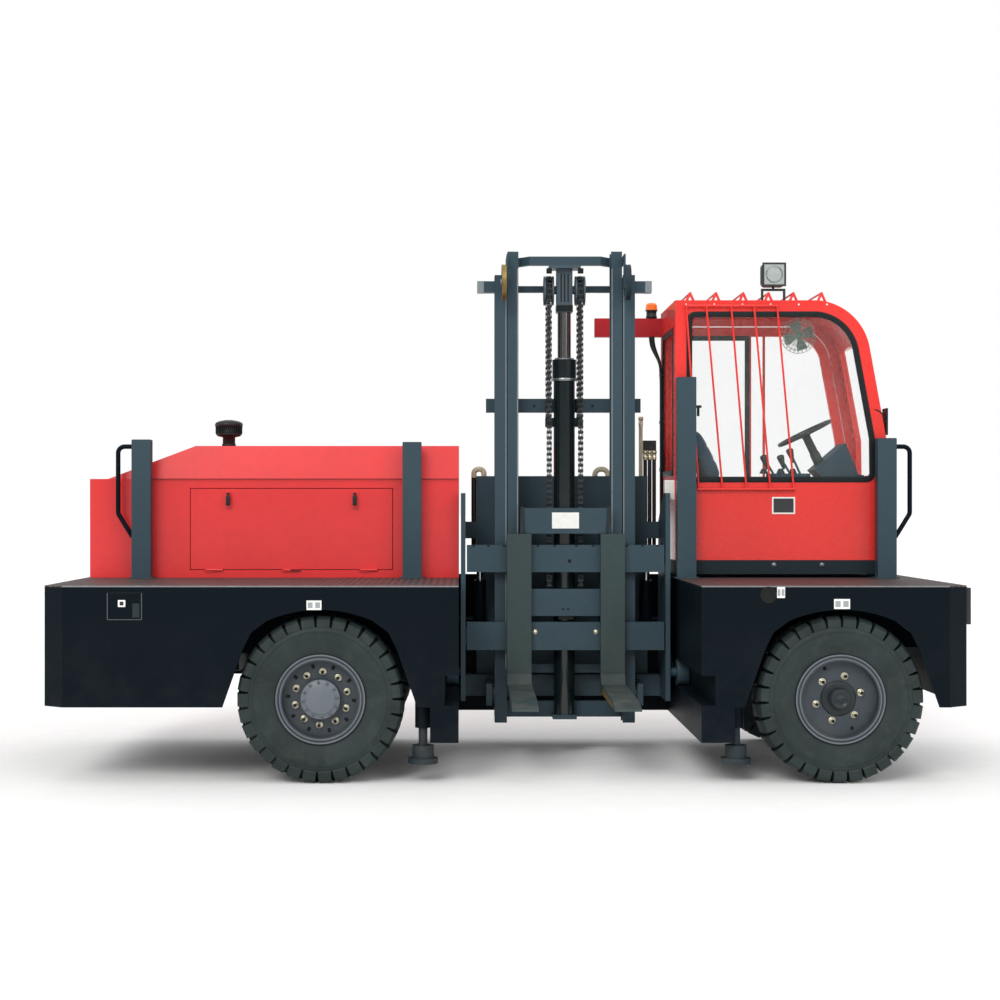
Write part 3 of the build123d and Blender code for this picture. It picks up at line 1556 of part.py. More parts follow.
def tilt_parts():
    """One tilt cylinder: its barrel on the base pin and its rod with the open eye."""
    length = hypot(tilt_eye_y - tilt_base_y, tilt_eye_z - tilt_base_z)
    x = mast_x - tilt_x

    def point(share):
        return (x, tilt_base_y + (tilt_eye_y - tilt_base_y) * share,
                tilt_base_z + (tilt_eye_z - tilt_base_z) * share)

    half = tilt_eye_w / 2
    start = tilt_eye_r / 2 / length
    neck = tilt_neck_l / length
    barrel = joined([
        bar_between(point(start), point(neck), tilt_rod_r),
        bar_between(point(neck), point(tilt_barrel_share), tilt_barrel_r),
        rod("X", x - half, x + half, tilt_base_y, tilt_base_z, tilt_eye_r),
    ])
    barrel = cut(barrel, [
        rod("X", x - half - overrun, x + half + overrun, tilt_base_y, tilt_base_z,
            tilt_pin_r + seat_gap),
        bar_between(point(tilt_bore_share), point(1), tilt_rod_r + seat_gap),
    ])
    shaft = joined([
        bar_between(point(tilt_rod_share), point(1 - start), tilt_rod_r),
        rod("X", x - half, x + half, tilt_eye_y, tilt_eye_z, tilt_eye_r),
    ])
    shaft = shaft - rod("X", x - half - overrun, x + half + overrun, tilt_eye_y, tilt_eye_z,
                        tilt_pin_r + tilt_eye_play)
    return barrel, shaft


def mast_pipes():
    """Steel pipe loops and hoses clamped behind the traverse frame's upper tie."""
    y = side_y1 + pipe_r + seat_gap
    solids = []
    for x0, x1 in pipe_loops:
        bend = (x1 - x0) / 2
        points = [(x0, y, pipe_z0), (x0, y, pipe_top_z), (x1, y, pipe_top_z), (x1, y, pipe_z0)]
        solids.append(tube_run(points, [bend * pipe_bend_share] * 2, pipe_r))
    y = side_y1 + hose_r + seat_gap
    hose_pieces = [rod("Z", pipe_z0, top, x, y, hose_r) for x, top in hoses]
    hose_pieces.append(block(hose_bar_x0, hose_bar_x1, y - hose_r, y + hose_r,
                             hose_bar_z - hose_bar_h, hose_bar_z))
    solids.append(joined(hose_pieces))
    return solids


keep("fork_carriage", fork_carriage())
keep("forks", both_mast_sides(fork()))
keep("traverse_frame", traverse_frame())
tilt_barrel, tilt_shaft = tilt_parts()
keep("tilt_barrels", both_mast_sides(tilt_barrel))
keep("tilt_rods", both_mast_sides(tilt_shaft))
keep("mast_pipes", mast_pipes())

os.makedirs("parts", exist_ok=True)
for name, shape in parts.items():
    export_step(shape, f"parts/{name}.step")
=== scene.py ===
"""Looks of the side loader forklift: paint, tyres, chains, deck, cab and mast details."""
import math

import bmesh
import bpy
from mathutils import Euler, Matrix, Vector


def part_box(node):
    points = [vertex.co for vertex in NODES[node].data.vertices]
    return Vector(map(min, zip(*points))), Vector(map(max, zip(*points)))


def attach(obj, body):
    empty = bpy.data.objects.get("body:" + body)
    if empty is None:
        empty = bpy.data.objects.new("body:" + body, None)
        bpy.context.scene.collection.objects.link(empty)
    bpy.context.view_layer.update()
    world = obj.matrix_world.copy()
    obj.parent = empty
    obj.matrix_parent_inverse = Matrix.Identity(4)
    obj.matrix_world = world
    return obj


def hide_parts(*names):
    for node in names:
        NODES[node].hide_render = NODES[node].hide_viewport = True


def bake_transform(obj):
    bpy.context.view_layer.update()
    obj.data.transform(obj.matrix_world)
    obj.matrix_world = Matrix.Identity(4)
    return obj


bl_info = {
    "name": "Side loader forklift",
    "version": (1, 0, 0),
    "blender": (4, 5, 0),
    "location": "3D View > Sidebar > Side Loader",
    "description": "Paint, tyres, chains, cab and mast details of a side loader forklift",
    "category": "Object",
}

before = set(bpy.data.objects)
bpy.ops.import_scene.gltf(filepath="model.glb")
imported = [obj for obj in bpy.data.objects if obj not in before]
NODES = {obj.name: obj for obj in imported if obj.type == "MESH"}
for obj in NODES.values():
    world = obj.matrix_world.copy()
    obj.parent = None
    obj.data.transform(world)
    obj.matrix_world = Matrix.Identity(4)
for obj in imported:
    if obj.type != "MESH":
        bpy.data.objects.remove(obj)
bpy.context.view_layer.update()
FINISH = {}
TREES = {}

# The photograph: its side and vanishing point in pixels, what a pixel shows in metres in the
# plane that lies PIXEL_DEPTH in front of the camera, and the camera's place and lens

PHOTO_SIDE = 1000
PHOTO_MIDDLE = PHOTO_SIDE / 2
VANISHING_X = 460
VANISHING_Y = 508
PIXEL = 0.0062
PIXEL_DEPTH = 11.500
EYE_X = -0.285
EYE_Y = -12.680
EYE_Z = 1.717
LENS = 66.78
FLOOR_REACH = 400.0

# Small things in the photograph: a box's left, top, right and bottom pixel, or a spot's pixel

LOCKER = (107, 593, 142, 620)
LOCKER_LATCH = (118, 600, 125.5, 607)
LOCKER_GRIP = (132.5, 603.5, 139.5, 617.5)
BLANK_PLATES = ((306.5, 600.5, 321.5, 610), (834, 599, 850, 609), (777, 587, 785, 598))
LIFTING_HOLE = (768.5, 595)
WINDOW_LATCH = (698, 410.5)
CAB_PLATE = (772, 497, 795, 514)
SOCKET_BOX = (665, 480, 673, 500)
CAB_BOLTS = ((774, 565), (822, 565))
MIRROR_TOP = (887, 408)
MIRROR_FOOT = (887, 438)
CARRIAGE_PLATE = (552, 512.5, 579, 528.5)
CARRIAGE_BOLTS = ((535, 632), (596, 632), (519.5, 632), (611, 632))
CARRIAGE_HOLE = (569.5, 561)
PLATE_HOLES = ((563, 609), (568, 609))
PLATE_SLIT = (566, 618)

# Small helpers


def srgb(red, green, blue):
    """A colour given as 0 to 255 screen values, as the linear colour a shader takes."""
    def one(value):
        value /= 255
        return value / 12.92 if value <= 0.04045 else ((value + 0.055) / 1.055) ** 2.4
    return (one(red), one(green), one(blue), 1.0)


def photo_point(px, py, y):
    """The place in the plane at this Y that the photograph shows at this pixel, in metres."""
    share = (y - EYE_Y) / PIXEL_DEPTH
    return ((px - VANISHING_X) * PIXEL * share + EYE_X,
            EYE_Z - (py - VANISHING_Y) * PIXEL * share)


def photo_box(x0, y0, x1, y1, y):
    """A rectangle of pixels as (X0, X1, Z0, Z1) in the plane at this Y."""
    left, top = photo_point(x0, y0, y)
    right, bottom = photo_point(x1, y1, y)
    return (left, right, bottom, top)


def tint(colour, factor):
    """The same colour, lighter or darker."""
    return tuple(min(1.0, value * factor) for value in colour[:3]) + (1.0,)


# Places on the machine, in metres, and turns that face a side

SKIRT_Y = -1.180
LAMP_END_Y = 0.960
POST_TOPS = [(-2.546, -2.416, 2.186), (-0.681, -0.551, 2.169), (1.212, 1.342, 2.617),
             (2.591, 2.721, 2.196)]
LATCH_XS = (-1.894, -1.015)
LATCH_Z = 1.773
LUG_SHARE = 0.75
DISC_FACE = 0.046
SEAT = {"cushion": (1.672, 1.880), "back": (1.448, 2.085), "turn": 0.03, "lean": 0.46}
STEERING = {"centre": (2.200, 0.700, 2.255), "radius": 0.210, "tube": 0.014,
            "tilt": math.radians(26)}
LEVER_KNOBS = ((1.864, 2.072), (1.983, 2.072), (2.048, 2.118))
LEVER_Y = 0.440
FAN = {"y": 0.620, "z": 2.950, "radius": 0.125, "depth": 0.070}
REAR_HOSES = {"y": 1.010, "step": 0.024, "clips": (2.70, 2.35, 2.00, 1.65, 1.375)}
WORK_LAMP = {"x": 1.906, "z": 3.346, "half": 0.083, "near": 0.255}
HOSE_ENDS = [(1.042, 0.6143, 2.105, -1), (1.074, 0.6143, 2.105, -1), (1.106, 0.6143, 2.105, -1),
             (1.010, 0.6143, 2.345, -1)]
MAST = {"x": 0.443, "lift_y": 0.280, "box_near": 0.107, "box_half": 0.310, "box_z": (1.541, 1.717),
        "bar_near": 0.115, "bar_half": 0.681, "plate_near": 0.125, "pulley_y": 0.070,
        "pulley_z": 3.268}
FACE_NEAR = (math.radians(90), 0, 0)
FACE_FAR = (math.radians(-90), 0, 0)

# Materials


def feed(tree, socket, value):
    """Links a socket to another one, or gives it a plain value."""
    if isinstance(value, bpy.types.NodeSocket):
        tree.links.new(value, socket)
    else:
        socket.default_value = value


def add_node(tree, kind, inputs=None, **settings):
    """A node with its settings, and then its inputs as sockets or plain values."""
    made = tree.nodes.new(kind)
    for key, value in settings.items():
        setattr(made, key, value)
    for key, value in (inputs or {}).items():
        feed(tree, made.inputs[key], value)
    return made


class Shade:
    """Builds one procedural material round a Principled shader, on Object coordinates."""

    def __init__(self, name):
        self.material = bpy.data.materials.new(name)
        self.material.use_nodes = True
        self.tree = self.material.node_tree
        self.shader = self.tree.nodes["Principled BSDF"]
        self.place = self.node("ShaderNodeTexCoord").outputs["Object"]

    def node(self, kind, inputs=None, **settings):
        return add_node(self.tree, kind, inputs, **settings)

    def stretched(self, scale, turn=(0, 0, 0)):
        return self.node("ShaderNodeMapping", {"Vector": self.place, "Scale": scale,
                                               "Rotation": turn}).outputs["Vector"]

    def noise(self, scale, detail=4.0, rough=0.5, place=None, warp=0.0):
        return self.node("ShaderNodeTexNoise", {
            "Vector": place or self.place, "Scale": scale, "Detail": detail,
            "Roughness": rough, "Distortion": warp}).outputs["Fac"]

    def cells(self, scale, feature="F1", place=None):
        return self.node("ShaderNodeTexVoronoi", {"Vector": place or self.place, "Scale": scale},
                         feature=feature).outputs["Distance"]

    def ramp(self, fac, stops):
        made = self.node("ShaderNodeValToRGB", {"Fac": fac})
        band = made.color_ramp
        while len(band.elements) < len(stops):
            band.elements.new(0.5)
        for element, (where, value) in zip(band.elements, stops):
            element.position = where
            if not hasattr(value, "__len__"):
                value = (value, value, value, 1.0)
            element.color = value
        return made.outputs["Color"]

    def mix(self, fac, first, second):
        return self.node("ShaderNodeMix", {0: fac, 6: first, 7: second},
                         data_type="RGBA").outputs[2]

    def math(self, operation, first, second=0.5):
        return self.node("ShaderNodeMath", {0: first, 1: second}, operation=operation).outputs[0]

    def times(self, first, second):
        return self.math("MULTIPLY", first, second)

    def plus(self, first, second):
        return self.math("ADD", first, second)

    def minus(self, first, second):
        return self.math("SUBTRACT", first, second)

    def patches(self, value, low, high, top=1.0):
        """Soft patches: none of it below low, all of it above high."""
        return self.ramp(value, [(low, 0.0), (high, top)])

    def axis(self, name, place=None):
        return self.node("ShaderNodeSeparateXYZ", {0: place or self.place}).outputs[name]

    def facing(self, name):
        normal = self.node("ShaderNodeNewGeometry").outputs["Normal"]
        return self.node("ShaderNodeSeparateXYZ", {0: normal}).outputs[name]

    def bump(self, height, strength, distance, under=None):
        inputs = {"Height": height, "Strength": strength, "Distance": distance}
        if under is not None:
            inputs["Normal"] = under
        return self.node("ShaderNodeBump", inputs).outputs["Normal"]

    def set(self, **values):
        names = {"colour": "Base Color", "rough": "Roughness", "metal": "Metallic",
                 "normal": "Normal", "coat": "Coat Weight", "coat_rough": "Coat Roughness",
                 "specular": "Specular IOR Level", "alpha": "Alpha", "sheen": "Sheen Weight",
                 "glow": "Emission Color", "glow_strength": "Emission Strength",
                 "through": "Transmission Weight", "ior": "IOR"}
        for key, value in values.items():
            feed(self.tree, self.shader.inputs[names[key]], value)
        return self.material


def paint(name, colour, rough=0.32, worn=0.5, dusty=0.3, coat=0.25, peel=0.12, specular=0.5):
    """Sprayed paint: uneven tone, orange peel, rubbed scratches, dust low down and on top."""
    shade = Shade(name)
    cloud = shade.noise(0.9, 3.0, 0.55)
    fine = shade.noise(14.0, 5.0, 0.6)
    tone = shade.mix(shade.patches(cloud, 0.3, 0.7), tint(colour, 0.9), tint(colour, 1.08))
    tone = shade.mix(shade.patches(fine, 0.45, 0.75, 0.25), tone, tint(colour, 0.72))
    streak = shade.noise(3.0, 6.0, 0.7, shade.stretched((2.0, 2.0, 34.0), (0.3, 0.2, 0.4)))
    scratch = shade.patches(streak, 0.66, 0.69)
    patch = shade.patches(shade.noise(1.7, 2.0), 0.48, 0.62)
    rubbed = shade.times(scratch, patch)
    rubbed = shade.times(rubbed, worn * 0.5)
    tone = shade.mix(rubbed, tone, tint(colour, 1.9) if max(colour[:3]) < 0.2
                     else tint(colour, 0.6))
    low = shade.minus(1.0, shade.math("DIVIDE", shade.axis("Z"), 1.1))
    low = shade.times(shade.math("MAXIMUM", low, 0.0), 0.8)
    flat = shade.times(shade.math("MAXIMUM", shade.facing("Z"), 0.0), 0.5)
    dirt = shade.plus(low, flat)
    dirt = shade.times(dirt, shade.patches(shade.noise(4.5, 7.0, 0.65), 0.4, 0.75))
    dirt = shade.times(dirt, dusty)
    tone = shade.mix(dirt, tone, srgb(139, 133, 124))
    gloss = shade.plus(shade.times(fine, 0.16), rough - 0.06)
    gloss = shade.plus(gloss, shade.times(dirt, 0.6))
    normal = shade.bump(shade.noise(130.0, 2.0), peel, 0.0012)
    normal = shade.bump(scratch, 0.1, 0.0006, normal)
    return shade.set(colour=tone, rough=gloss, normal=normal, coat=coat, coat_rough=0.12,
                     specular=specular)


def bare_metal(name, colour, rough=0.3, grain=(1.0, 1.0, 30.0), stained=0.4):
    """Bare or plated metal with a drawn grain and stains."""
    shade = Shade(name)
    drawn = shade.noise(22.0, 5.0, 0.6, shade.stretched(grain))
    stain = shade.patches(shade.noise(9.0, 6.0, 0.62), 0.42, 0.72)
    tone = shade.mix(drawn, tint(colour, 0.82), tint(colour, 1.12))
    tone = shade.mix(shade.times(stain, stained), tone, tint(colour, 0.45))
    gloss = shade.plus(shade.times(stain, 0.3), rough)
    return shade.set(colour=tone, metal=1.0, rough=gloss, normal=shade.bump(drawn, 0.16, 0.0004))


def moulded(name, colour, rough=0.5, grain=220.0, specular=0.4):
    """Moulded plastic or rubber with a fine grain and handled, slightly paler patches."""
    shade = Shade(name)
    cloud = shade.noise(5.0, 4.0, 0.6)
    tone = shade.mix(shade.patches(cloud, 0.4, 0.75, 0.7), colour, tint(colour, 1.55))
    gloss = shade.plus(shade.times(cloud, 0.2), rough - 0.1)
    return shade.set(colour=tone, rough=gloss, specular=specular,
                     normal=shade.bump(shade.cells(grain), 0.2, 0.0005))


def tyre_rubber(name, colour):
    """Tyre rubber: uneven tone, patches of dust, a fine grain and a dull bloom."""
    shade = Shade(name)
    cloud = shade.noise(3.2, 6.0, 0.62)
    tone = shade.mix(shade.patches(cloud, 0.35, 0.7), tint(colour, 0.75), tint(colour, 1.25))
    dust = shade.patches(shade.noise(11.0, 8.0, 0.7), 0.5, 0.74)
    tone = shade.mix(shade.times(dust, 0.3), tone, srgb(74, 82, 74))
    grain = shade.noise(90.0, 4.0, 0.6)
    gloss = shade.plus(shade.times(cloud, 0.25), 0.42)
    return shade.set(colour=tone, rough=gloss, specular=0.2,
                     normal=shade.bump(grain, 0.25, 0.0012))


def deck_tread(name, colour):
    """Raised-bar tread plate: short bars crossing at right angles, worn bright on top."""
    shade = Shade(name)
    height = None
    for turn, shift in ((math.radians(45), 0.0), (math.radians(-45), 0.5)):
        place = shade.stretched((16.0, 16.0, 1.0), (0, 0, turn))
        column = shade.axis("X", place)
        line = shade.axis("Y", place)
        row = shade.math("FLOOR", shade.times(line, 2.0), 0.0)
        odd = shade.times(shade.math("MODULO", row, 2.0), 0.5)
        along = shade.math("FRACT", shade.plus(shade.plus(column, odd), shift), 0.0)
        across_bar = shade.math("FRACT", shade.times(line, 2.0), 0.0)
        one = shade.minus(0.30, shade.math("ABSOLUTE", shade.minus(along, 0.5), 0.0))
        two = shade.minus(0.20, shade.math("ABSOLUTE", shade.minus(across_bar, 0.5), 0.0))
        bar = shade.math("MINIMUM", one, two)
        bar = shade.patches(bar, 0.0, 0.09)
        height = bar if height is None else shade.math("MAXIMUM", height, bar)
    cloud = shade.noise(2.2, 5.0, 0.6)
    tone = shade.mix(shade.patches(cloud, 0.35, 0.7), tint(colour, 0.75), tint(colour, 1.3))
    tone = shade.mix(shade.times(height, 0.55), tone, srgb(120, 106, 104))
    mud = shade.patches(shade.noise(7.0, 7.0, 0.7), 0.5, 0.75)
    tone = shade.mix(shade.times(mud, 0.3), tone, srgb(104, 92, 84))
    return shade.set(colour=tone, rough=0.5, metal=0.15, normal=shade.bump(height, 0.9, 0.004))


def clear_glass(name, colour, dirt=0.05):
    """A thin pane: almost clear, with a faint tint and dust."""
    shade = Shade(name)
    smear = shade.patches(shade.noise(3.0, 6.0, 0.65), 0.45, 0.8)
    alpha = shade.plus(shade.times(smear, dirt), 0.035)
    shade.set(colour=shade.mix(smear, colour, srgb(205, 208, 205)), rough=0.03,
              specular=0.5, alpha=alpha)
    shade.material.surface_render_method = "BLENDED"
    return shade.material


def tinted_lens(name, colour, glow=0.05, ribs=60.0):
    """A ribbed plastic lens."""
    shade = Shade(name)
    ribbed = shade.node("ShaderNodeTexWave", {"Vector": shade.place, "Scale": ribs},
                        bands_direction="X").outputs["Fac"]
    cloud = shade.noise(20.0, 3.0)
    tone = shade.mix(cloud, tint(colour, 0.75), tint(colour, 1.15))
    shade.set(colour=tone, rough=0.12, coat=0.6, coat_rough=0.05,
              normal=shade.bump(ribbed, 0.25, 0.001), glow=colour, glow_strength=glow)
    return shade.material


def woven(name, colour):
    """Upholstery cloth with a fine weave and rubbed, paler folds."""
    shade = Shade(name)
    over = shade.node("ShaderNodeTexWave", {"Vector": shade.place, "Scale": 190.0,
                                            "Distortion": 0.6}, bands_direction="Y").outputs["Fac"]
    under = shade.node("ShaderNodeTexWave", {"Vector": shade.place, "Scale": 190.0,
                                             "Distortion": 0.6}, bands_direction="Z").outputs["Fac"]
    weave = shade.times(over, under)
    worn = shade.patches(shade.noise(6.0, 5.0, 0.6), 0.4, 0.7)
    tone = shade.mix(weave, tint(colour, 0.7), tint(colour, 1.2))
    tone = shade.mix(shade.times(worn, 0.3), tone, tint(colour, 1.9))
    return shade.set(colour=tone, rough=0.82, sheen=0.25, specular=0.25,
                     normal=shade.bump(weave, 0.35, 0.0008))


def printed_plate(name, colour):
    """A blank enamelled plate, slightly aged."""
    shade = Shade(name)
    age = shade.patches(shade.noise(40.0, 5.0, 0.6), 0.45, 0.8)
    tone = shade.mix(shade.times(age, 0.35), colour, tint(colour, 0.7))
    return shade.set(colour=tone, rough=0.35, coat=0.3, coat_rough=0.15,
                     normal=shade.bump(age, 0.05, 0.0003))


def lift_rod_finish(name, steel, slate, middle_x, middle_y, radius, top):
    """Hard chrome on the round rod, its colour streaked up and down as painted reflections; slate
    paint on the crosshead above it.
    """
    shade = Shade(name)
    out_x = shade.minus(shade.axis("X"), middle_x)
    out_y = shade.minus(shade.axis("Y"), middle_y)
    out = shade.math("SQRT", shade.plus(shade.times(out_x, out_x), shade.times(out_y, out_y)), 0.0)
    on_rod = shade.times(shade.math("LESS_THAN", out, radius + 0.001),
                         shade.math("LESS_THAN", shade.axis("Z"), top))
    # Streaks running up and down: painted reflections in the chrome's colour; on the slate they
    # give a faint tone, and they drive the bump.
    painted_reflection_streaks = shade.noise(18.0, 5.0, 0.6, shade.stretched((4.0, 4.0, 0.6)))
    bright = shade.mix(painted_reflection_streaks, tint(steel, 0.55), steel)
    tone = shade.mix(on_rod, shade.mix(painted_reflection_streaks, tint(slate, 0.8), tint(slate, 1.1)), bright)
    rough = shade.minus(0.45, shade.times(on_rod, 0.28))
    return shade.set(colour=tone, metal=on_rod, rough=rough, normal=shade.bump(painted_reflection_streaks, 0.05, 0.0005))


def pipe_finish(name, cream, black, split_x):
    """Cream paint on the steel pipes, black rubber on the hoses beyond one value of X."""
    shade = Shade(name)
    on_hose = shade.math("GREATER_THAN", shade.axis("X"), split_x)
    low_leg = shade.times(shade.math("LESS_THAN", shade.axis("X"), -0.150),
                          shade.math("LESS_THAN", shade.axis("Z"), 1.935))
    on_hose = shade.math("MAXIMUM", on_hose, low_leg)
    cloud = shade.noise(14.0, 5.0, 0.6)
    steel = shade.mix(cloud, tint(cream, 0.7), tint(cream, 1.1))
    rubber = shade.mix(cloud, tint(black, 0.8), tint(black, 1.6))
    return shade.set(colour=shade.mix(on_hose, steel, rubber), rough=0.42,
                     normal=shade.bump(shade.noise(260.0, 2.0), 0.15, 0.0005))


# Mesh helpers


def new_piece(name, mesh, finish, body):
    """A finished piece at the origin, with its finish, riding on its body."""
    piece = bpy.data.objects.new(name, mesh)
    bpy.context.scene.collection.objects.link(piece)
    mesh.materials.clear()
    mesh.materials.append(FINISH[finish])
    if body is not None:
        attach(piece, body)
    return piece


def form_piece(name, form, finish, body, smooth=None, recalc=False):
    """A finished piece made straight from a bmesh; smooth is the sharpest smooth edge's angle."""
    angle = None if smooth is None else math.radians(smooth)
    return new_piece(name, close_bmesh(form, name, angle, recalc), finish, body)


def slab_piece(name, low, high, chamfer, finish, body):
    """A single box with chamfered edges, as a finished piece."""
    form = bmesh.new()
    add_slab(form, low, high, chamfer)
    return form_piece(name, form, finish, body)


def close_bmesh(form, name, smooth_angle=None, recalc=False):
    """Turns a bmesh into a mesh, with sharp edges by angle where it is smooth."""
    if recalc:
        bmesh.ops.remove_doubles(form, verts=form.verts, dist=1e-6)
        bmesh.ops.recalc_face_normals(form, faces=form.faces)
    mesh = bpy.data.meshes.new(name)
    if smooth_angle is not None:
        for face in form.faces:
            face.smooth = True
        for edge in form.edges:
            if len(edge.link_faces) == 2:
                edge.smooth = edge.calc_face_angle(0.0) < smooth_angle
            else:
                edge.smooth = False
    form.to_mesh(mesh)
    form.free()
    return mesh


def add_slab(form, low, high, chamfer=0.0, turn=None):
    """Adds a box with chamfered edges; turn is (point, rotation) to lean it."""
    made = bmesh.ops.create_cube(form, size=1.0)
    verts = made["verts"]
    size = [b - a for a, b in zip(low, high)]
    middle = Vector([(a + b) / 2 for a, b in zip(low, high)])
    for vert in verts:
        vert.co = Vector([c * s for c, s in zip(vert.co, size)]) + middle
    if chamfer > 0:
        edges = dict.fromkeys(edge for vert in verts for edge in vert.link_edges)
        made = bmesh.ops.bevel(form, geom=list(edges), offset=chamfer, segments=2,
                               affect="EDGES", profile=0.6)
        verts = {v for f in made["faces"] for v in f.verts} | {v for v in verts if v.is_valid}
    if turn is not None:
        point, rotation = turn
        for vert in verts:
            vert.co = Vector(point) + rotation @ (vert.co - Vector(point))


def add_turned(form, profile, start, axis, sides=32, closed=True):
    """Adds a revolved form: profile is (distance along the axis, radius) pairs."""
    axis = Vector(axis).normalized()
    across = axis.orthogonal().normalized()
    other = axis.cross(across)
    start = Vector(start)
    rings = []
    for along, radius in profile:
        if radius < 1e-6:
            rings.append([form.verts.new(start + axis * along)])
            continue
        rings.append([
            form.verts.new(start + axis * along
                           + (across * math.cos(a) + other * math.sin(a)) * radius)
            for a in (2 * math.pi * i / sides for i in range(sides))
        ])
    for one, two in zip(rings, rings[1:]):
        for i in range(sides):
            j = (i + 1) % sides
            if len(one) == 1 and len(two) == 1:
                continue
            if len(one) == 1:
                form.faces.new((one[0], two[j], two[i]))
            elif len(two) == 1:
                form.faces.new((one[i], one[j], two[0]))
            else:
                form.faces.new((one[i], one[j], two[j], two[i]))
    if closed:
        if len(rings[0]) > 1:
            form.faces.new(rings[0][::-1])
        if len(rings[-1]) > 1:
            form.faces.new(rings[-1])


def add_prism(form, outline, normal_axis, start, end):
    """Adds a prism: a 2D outline carried along X, Y or Z."""
    def place(pair, along):
        if normal_axis == "X":
            return Vector((along, pair[0], pair[1]))
        if normal_axis == "Y":
            return Vector((pair[0], along, pair[1]))
        return Vector((pair[0], pair[1], along))
    near = [form.verts.new(place(p, start)) for p in outline]
    far = [form.verts.new(place(p, end)) for p in outline]
    count = len(outline)
    for i in range(count):
        j = (i + 1) % count
        form.faces.new((near[i], near[j], far[j], far[i]))
    form.faces.new(near[::-1])
    form.faces.new(far)


def tube_mesh(name, runs, radius, sides=6, smooth=True):
    """One mesh of bent round tubes, each along its own smooth line of points."""
    curve = bpy.data.curves.new(name, "CURVE")
    curve.dimensions = "3D"
    curve.bevel_depth = radius
    curve.bevel_resolution = sides // 2
    curve.resolution_u = 8
    curve.use_fill_caps = True
    for points in runs:
        spline = curve.splines.new("NURBS" if smooth and len(points) > 2 else "POLY")
        spline.points.add(len(points) - 1)
        for knot, point in zip(spline.points, points):
            knot.co = (*point, 1.0)
        if spline.type == "NURBS":
            spline.order_u = 3
            spline.use_endpoint_u = True
    holder = bpy.data.objects.new(name, curve)
    bpy.context.scene.collection.objects.link(holder)
    seen = holder.evaluated_get(bpy.context.evaluated_depsgraph_get())
    mesh = bpy.data.meshes.new_from_object(seen)
    bpy.data.objects.remove(holder)
    bpy.data.curves.remove(curve)
    mesh.name = name
    for face in mesh.polygons:
        face.use_smooth = True
    return mesh


# Geometry Nodes for what repeats


def start_tree(name, sockets):
    """A tree whose inputs are (label, kind, value); gives the tree and its input sockets."""
    tree = bpy.data.node_groups.new(name, "GeometryNodeTree")
    for label, kind, value in sockets:
        socket = tree.interface.new_socket(label, in_out="INPUT", socket_type="NodeSocket" + kind)
        if value is not None:
            socket.default_value = value
    tree.interface.new_socket("Geometry", in_out="OUTPUT", socket_type="NodeSocketGeometry")
    return tree, add_node(tree, "NodeGroupInput").outputs


def end_tree(tree, given, copies, moved=False):
    """Copies on points, made real, turned and shifted if wanted, with their material."""
    source = add_node(tree, "GeometryNodeObjectInfo", {"Object": given["Piece"]})
    copies["Instance"] = source.outputs["Geometry"]
    last = add_node(tree, "GeometryNodeInstanceOnPoints", copies).outputs["Instances"]
    last = add_node(tree, "GeometryNodeRealizeInstances", {"Geometry": last}).outputs["Geometry"]
    if moved:
        last = add_node(tree, "GeometryNodeTransform", {
            "Geometry": last, "Translation": given["Centre"],
            "Rotation": given["Turn"]}).outputs["Geometry"]
    last = add_node(tree, "GeometryNodeSetMaterial", {
        "Geometry": last, "Material": given["Material"]}).outputs["Geometry"]
    add_node(tree, "NodeGroupOutput", {"Geometry": last})
    return tree


def ring_tree():
    """Copies of a piece evenly round a circle, each turned to face outwards."""
    tree, given = start_tree("Ring of pieces", [
        ("Piece", "Object", None), ("Material", "Material", None), ("Count", "Int", 12),
        ("Radius", "Float", 0.1), ("First angle", "Float", 0.0), ("Centre", "Vector", None),
        ("Turn", "Vector", None)])

    def value(operation, first, second=0.0):
        return add_node(tree, "ShaderNodeMath", {0: first, 1: second},
                        operation=operation).outputs[0]

    points = add_node(tree, "GeometryNodeMeshLine", {
        "Count": given["Count"], "Offset": (0, 0, 0)}, mode="OFFSET")
    angle = value("MULTIPLY", add_node(tree, "GeometryNodeInputIndex").outputs[0],
                  value("DIVIDE", 2 * math.pi, given["Count"]))
    angle = value("ADD", angle, given["First angle"])
    spot = add_node(tree, "ShaderNodeCombineXYZ", {
        "X": value("MULTIPLY", value("COSINE", angle), given["Radius"]),
        "Y": value("MULTIPLY", value("SINE", angle), given["Radius"])})
    moved = add_node(tree, "GeometryNodeSetPosition", {
        "Geometry": points.outputs["Mesh"], "Position": spot.outputs[0]})
    turn = add_node(tree, "ShaderNodeCombineXYZ", {"Z": angle})
    return end_tree(tree, given, {"Points": moved.outputs["Geometry"],
                                  "Rotation": turn.outputs[0]}, moved=True)


def row_tree():
    """Copies of a piece along a straight row, a fixed step apart."""
    tree, given = start_tree("Row of pieces", [
        ("Piece", "Object", None), ("Material", "Material", None), ("Count", "Int", 4),
        ("Start", "Vector", None), ("Step", "Vector", None)])
    points = add_node(tree, "GeometryNodeMeshLine", {
        "Count": given["Count"], "Start Location": given["Start"],
        "Offset": given["Step"]}, mode="OFFSET")
    return end_tree(tree, given, {"Points": points.outputs["Mesh"]})


def spots_tree():
    """Copies of a piece on given spots, each turned by the spot's own turn attribute."""
    tree, given = start_tree("Pieces on spots", [
        ("Geometry", "Geometry", None), ("Piece", "Object", None),
        ("Material", "Material", None), ("Size", "Float", 1.0)])
    turn = add_node(tree, "GeometryNodeInputNamedAttribute", {"Name": "turn"},
                    data_type="FLOAT_VECTOR")
    return end_tree(tree, given, {"Points": given["Geometry"], "Scale": given["Size"],
                                  "Rotation": turn.outputs["Attribute"]})


def tree_for(maker):
    """The node tree of that kind, built once."""
    if maker not in TREES:
        TREES[maker] = maker()
    return TREES[maker]


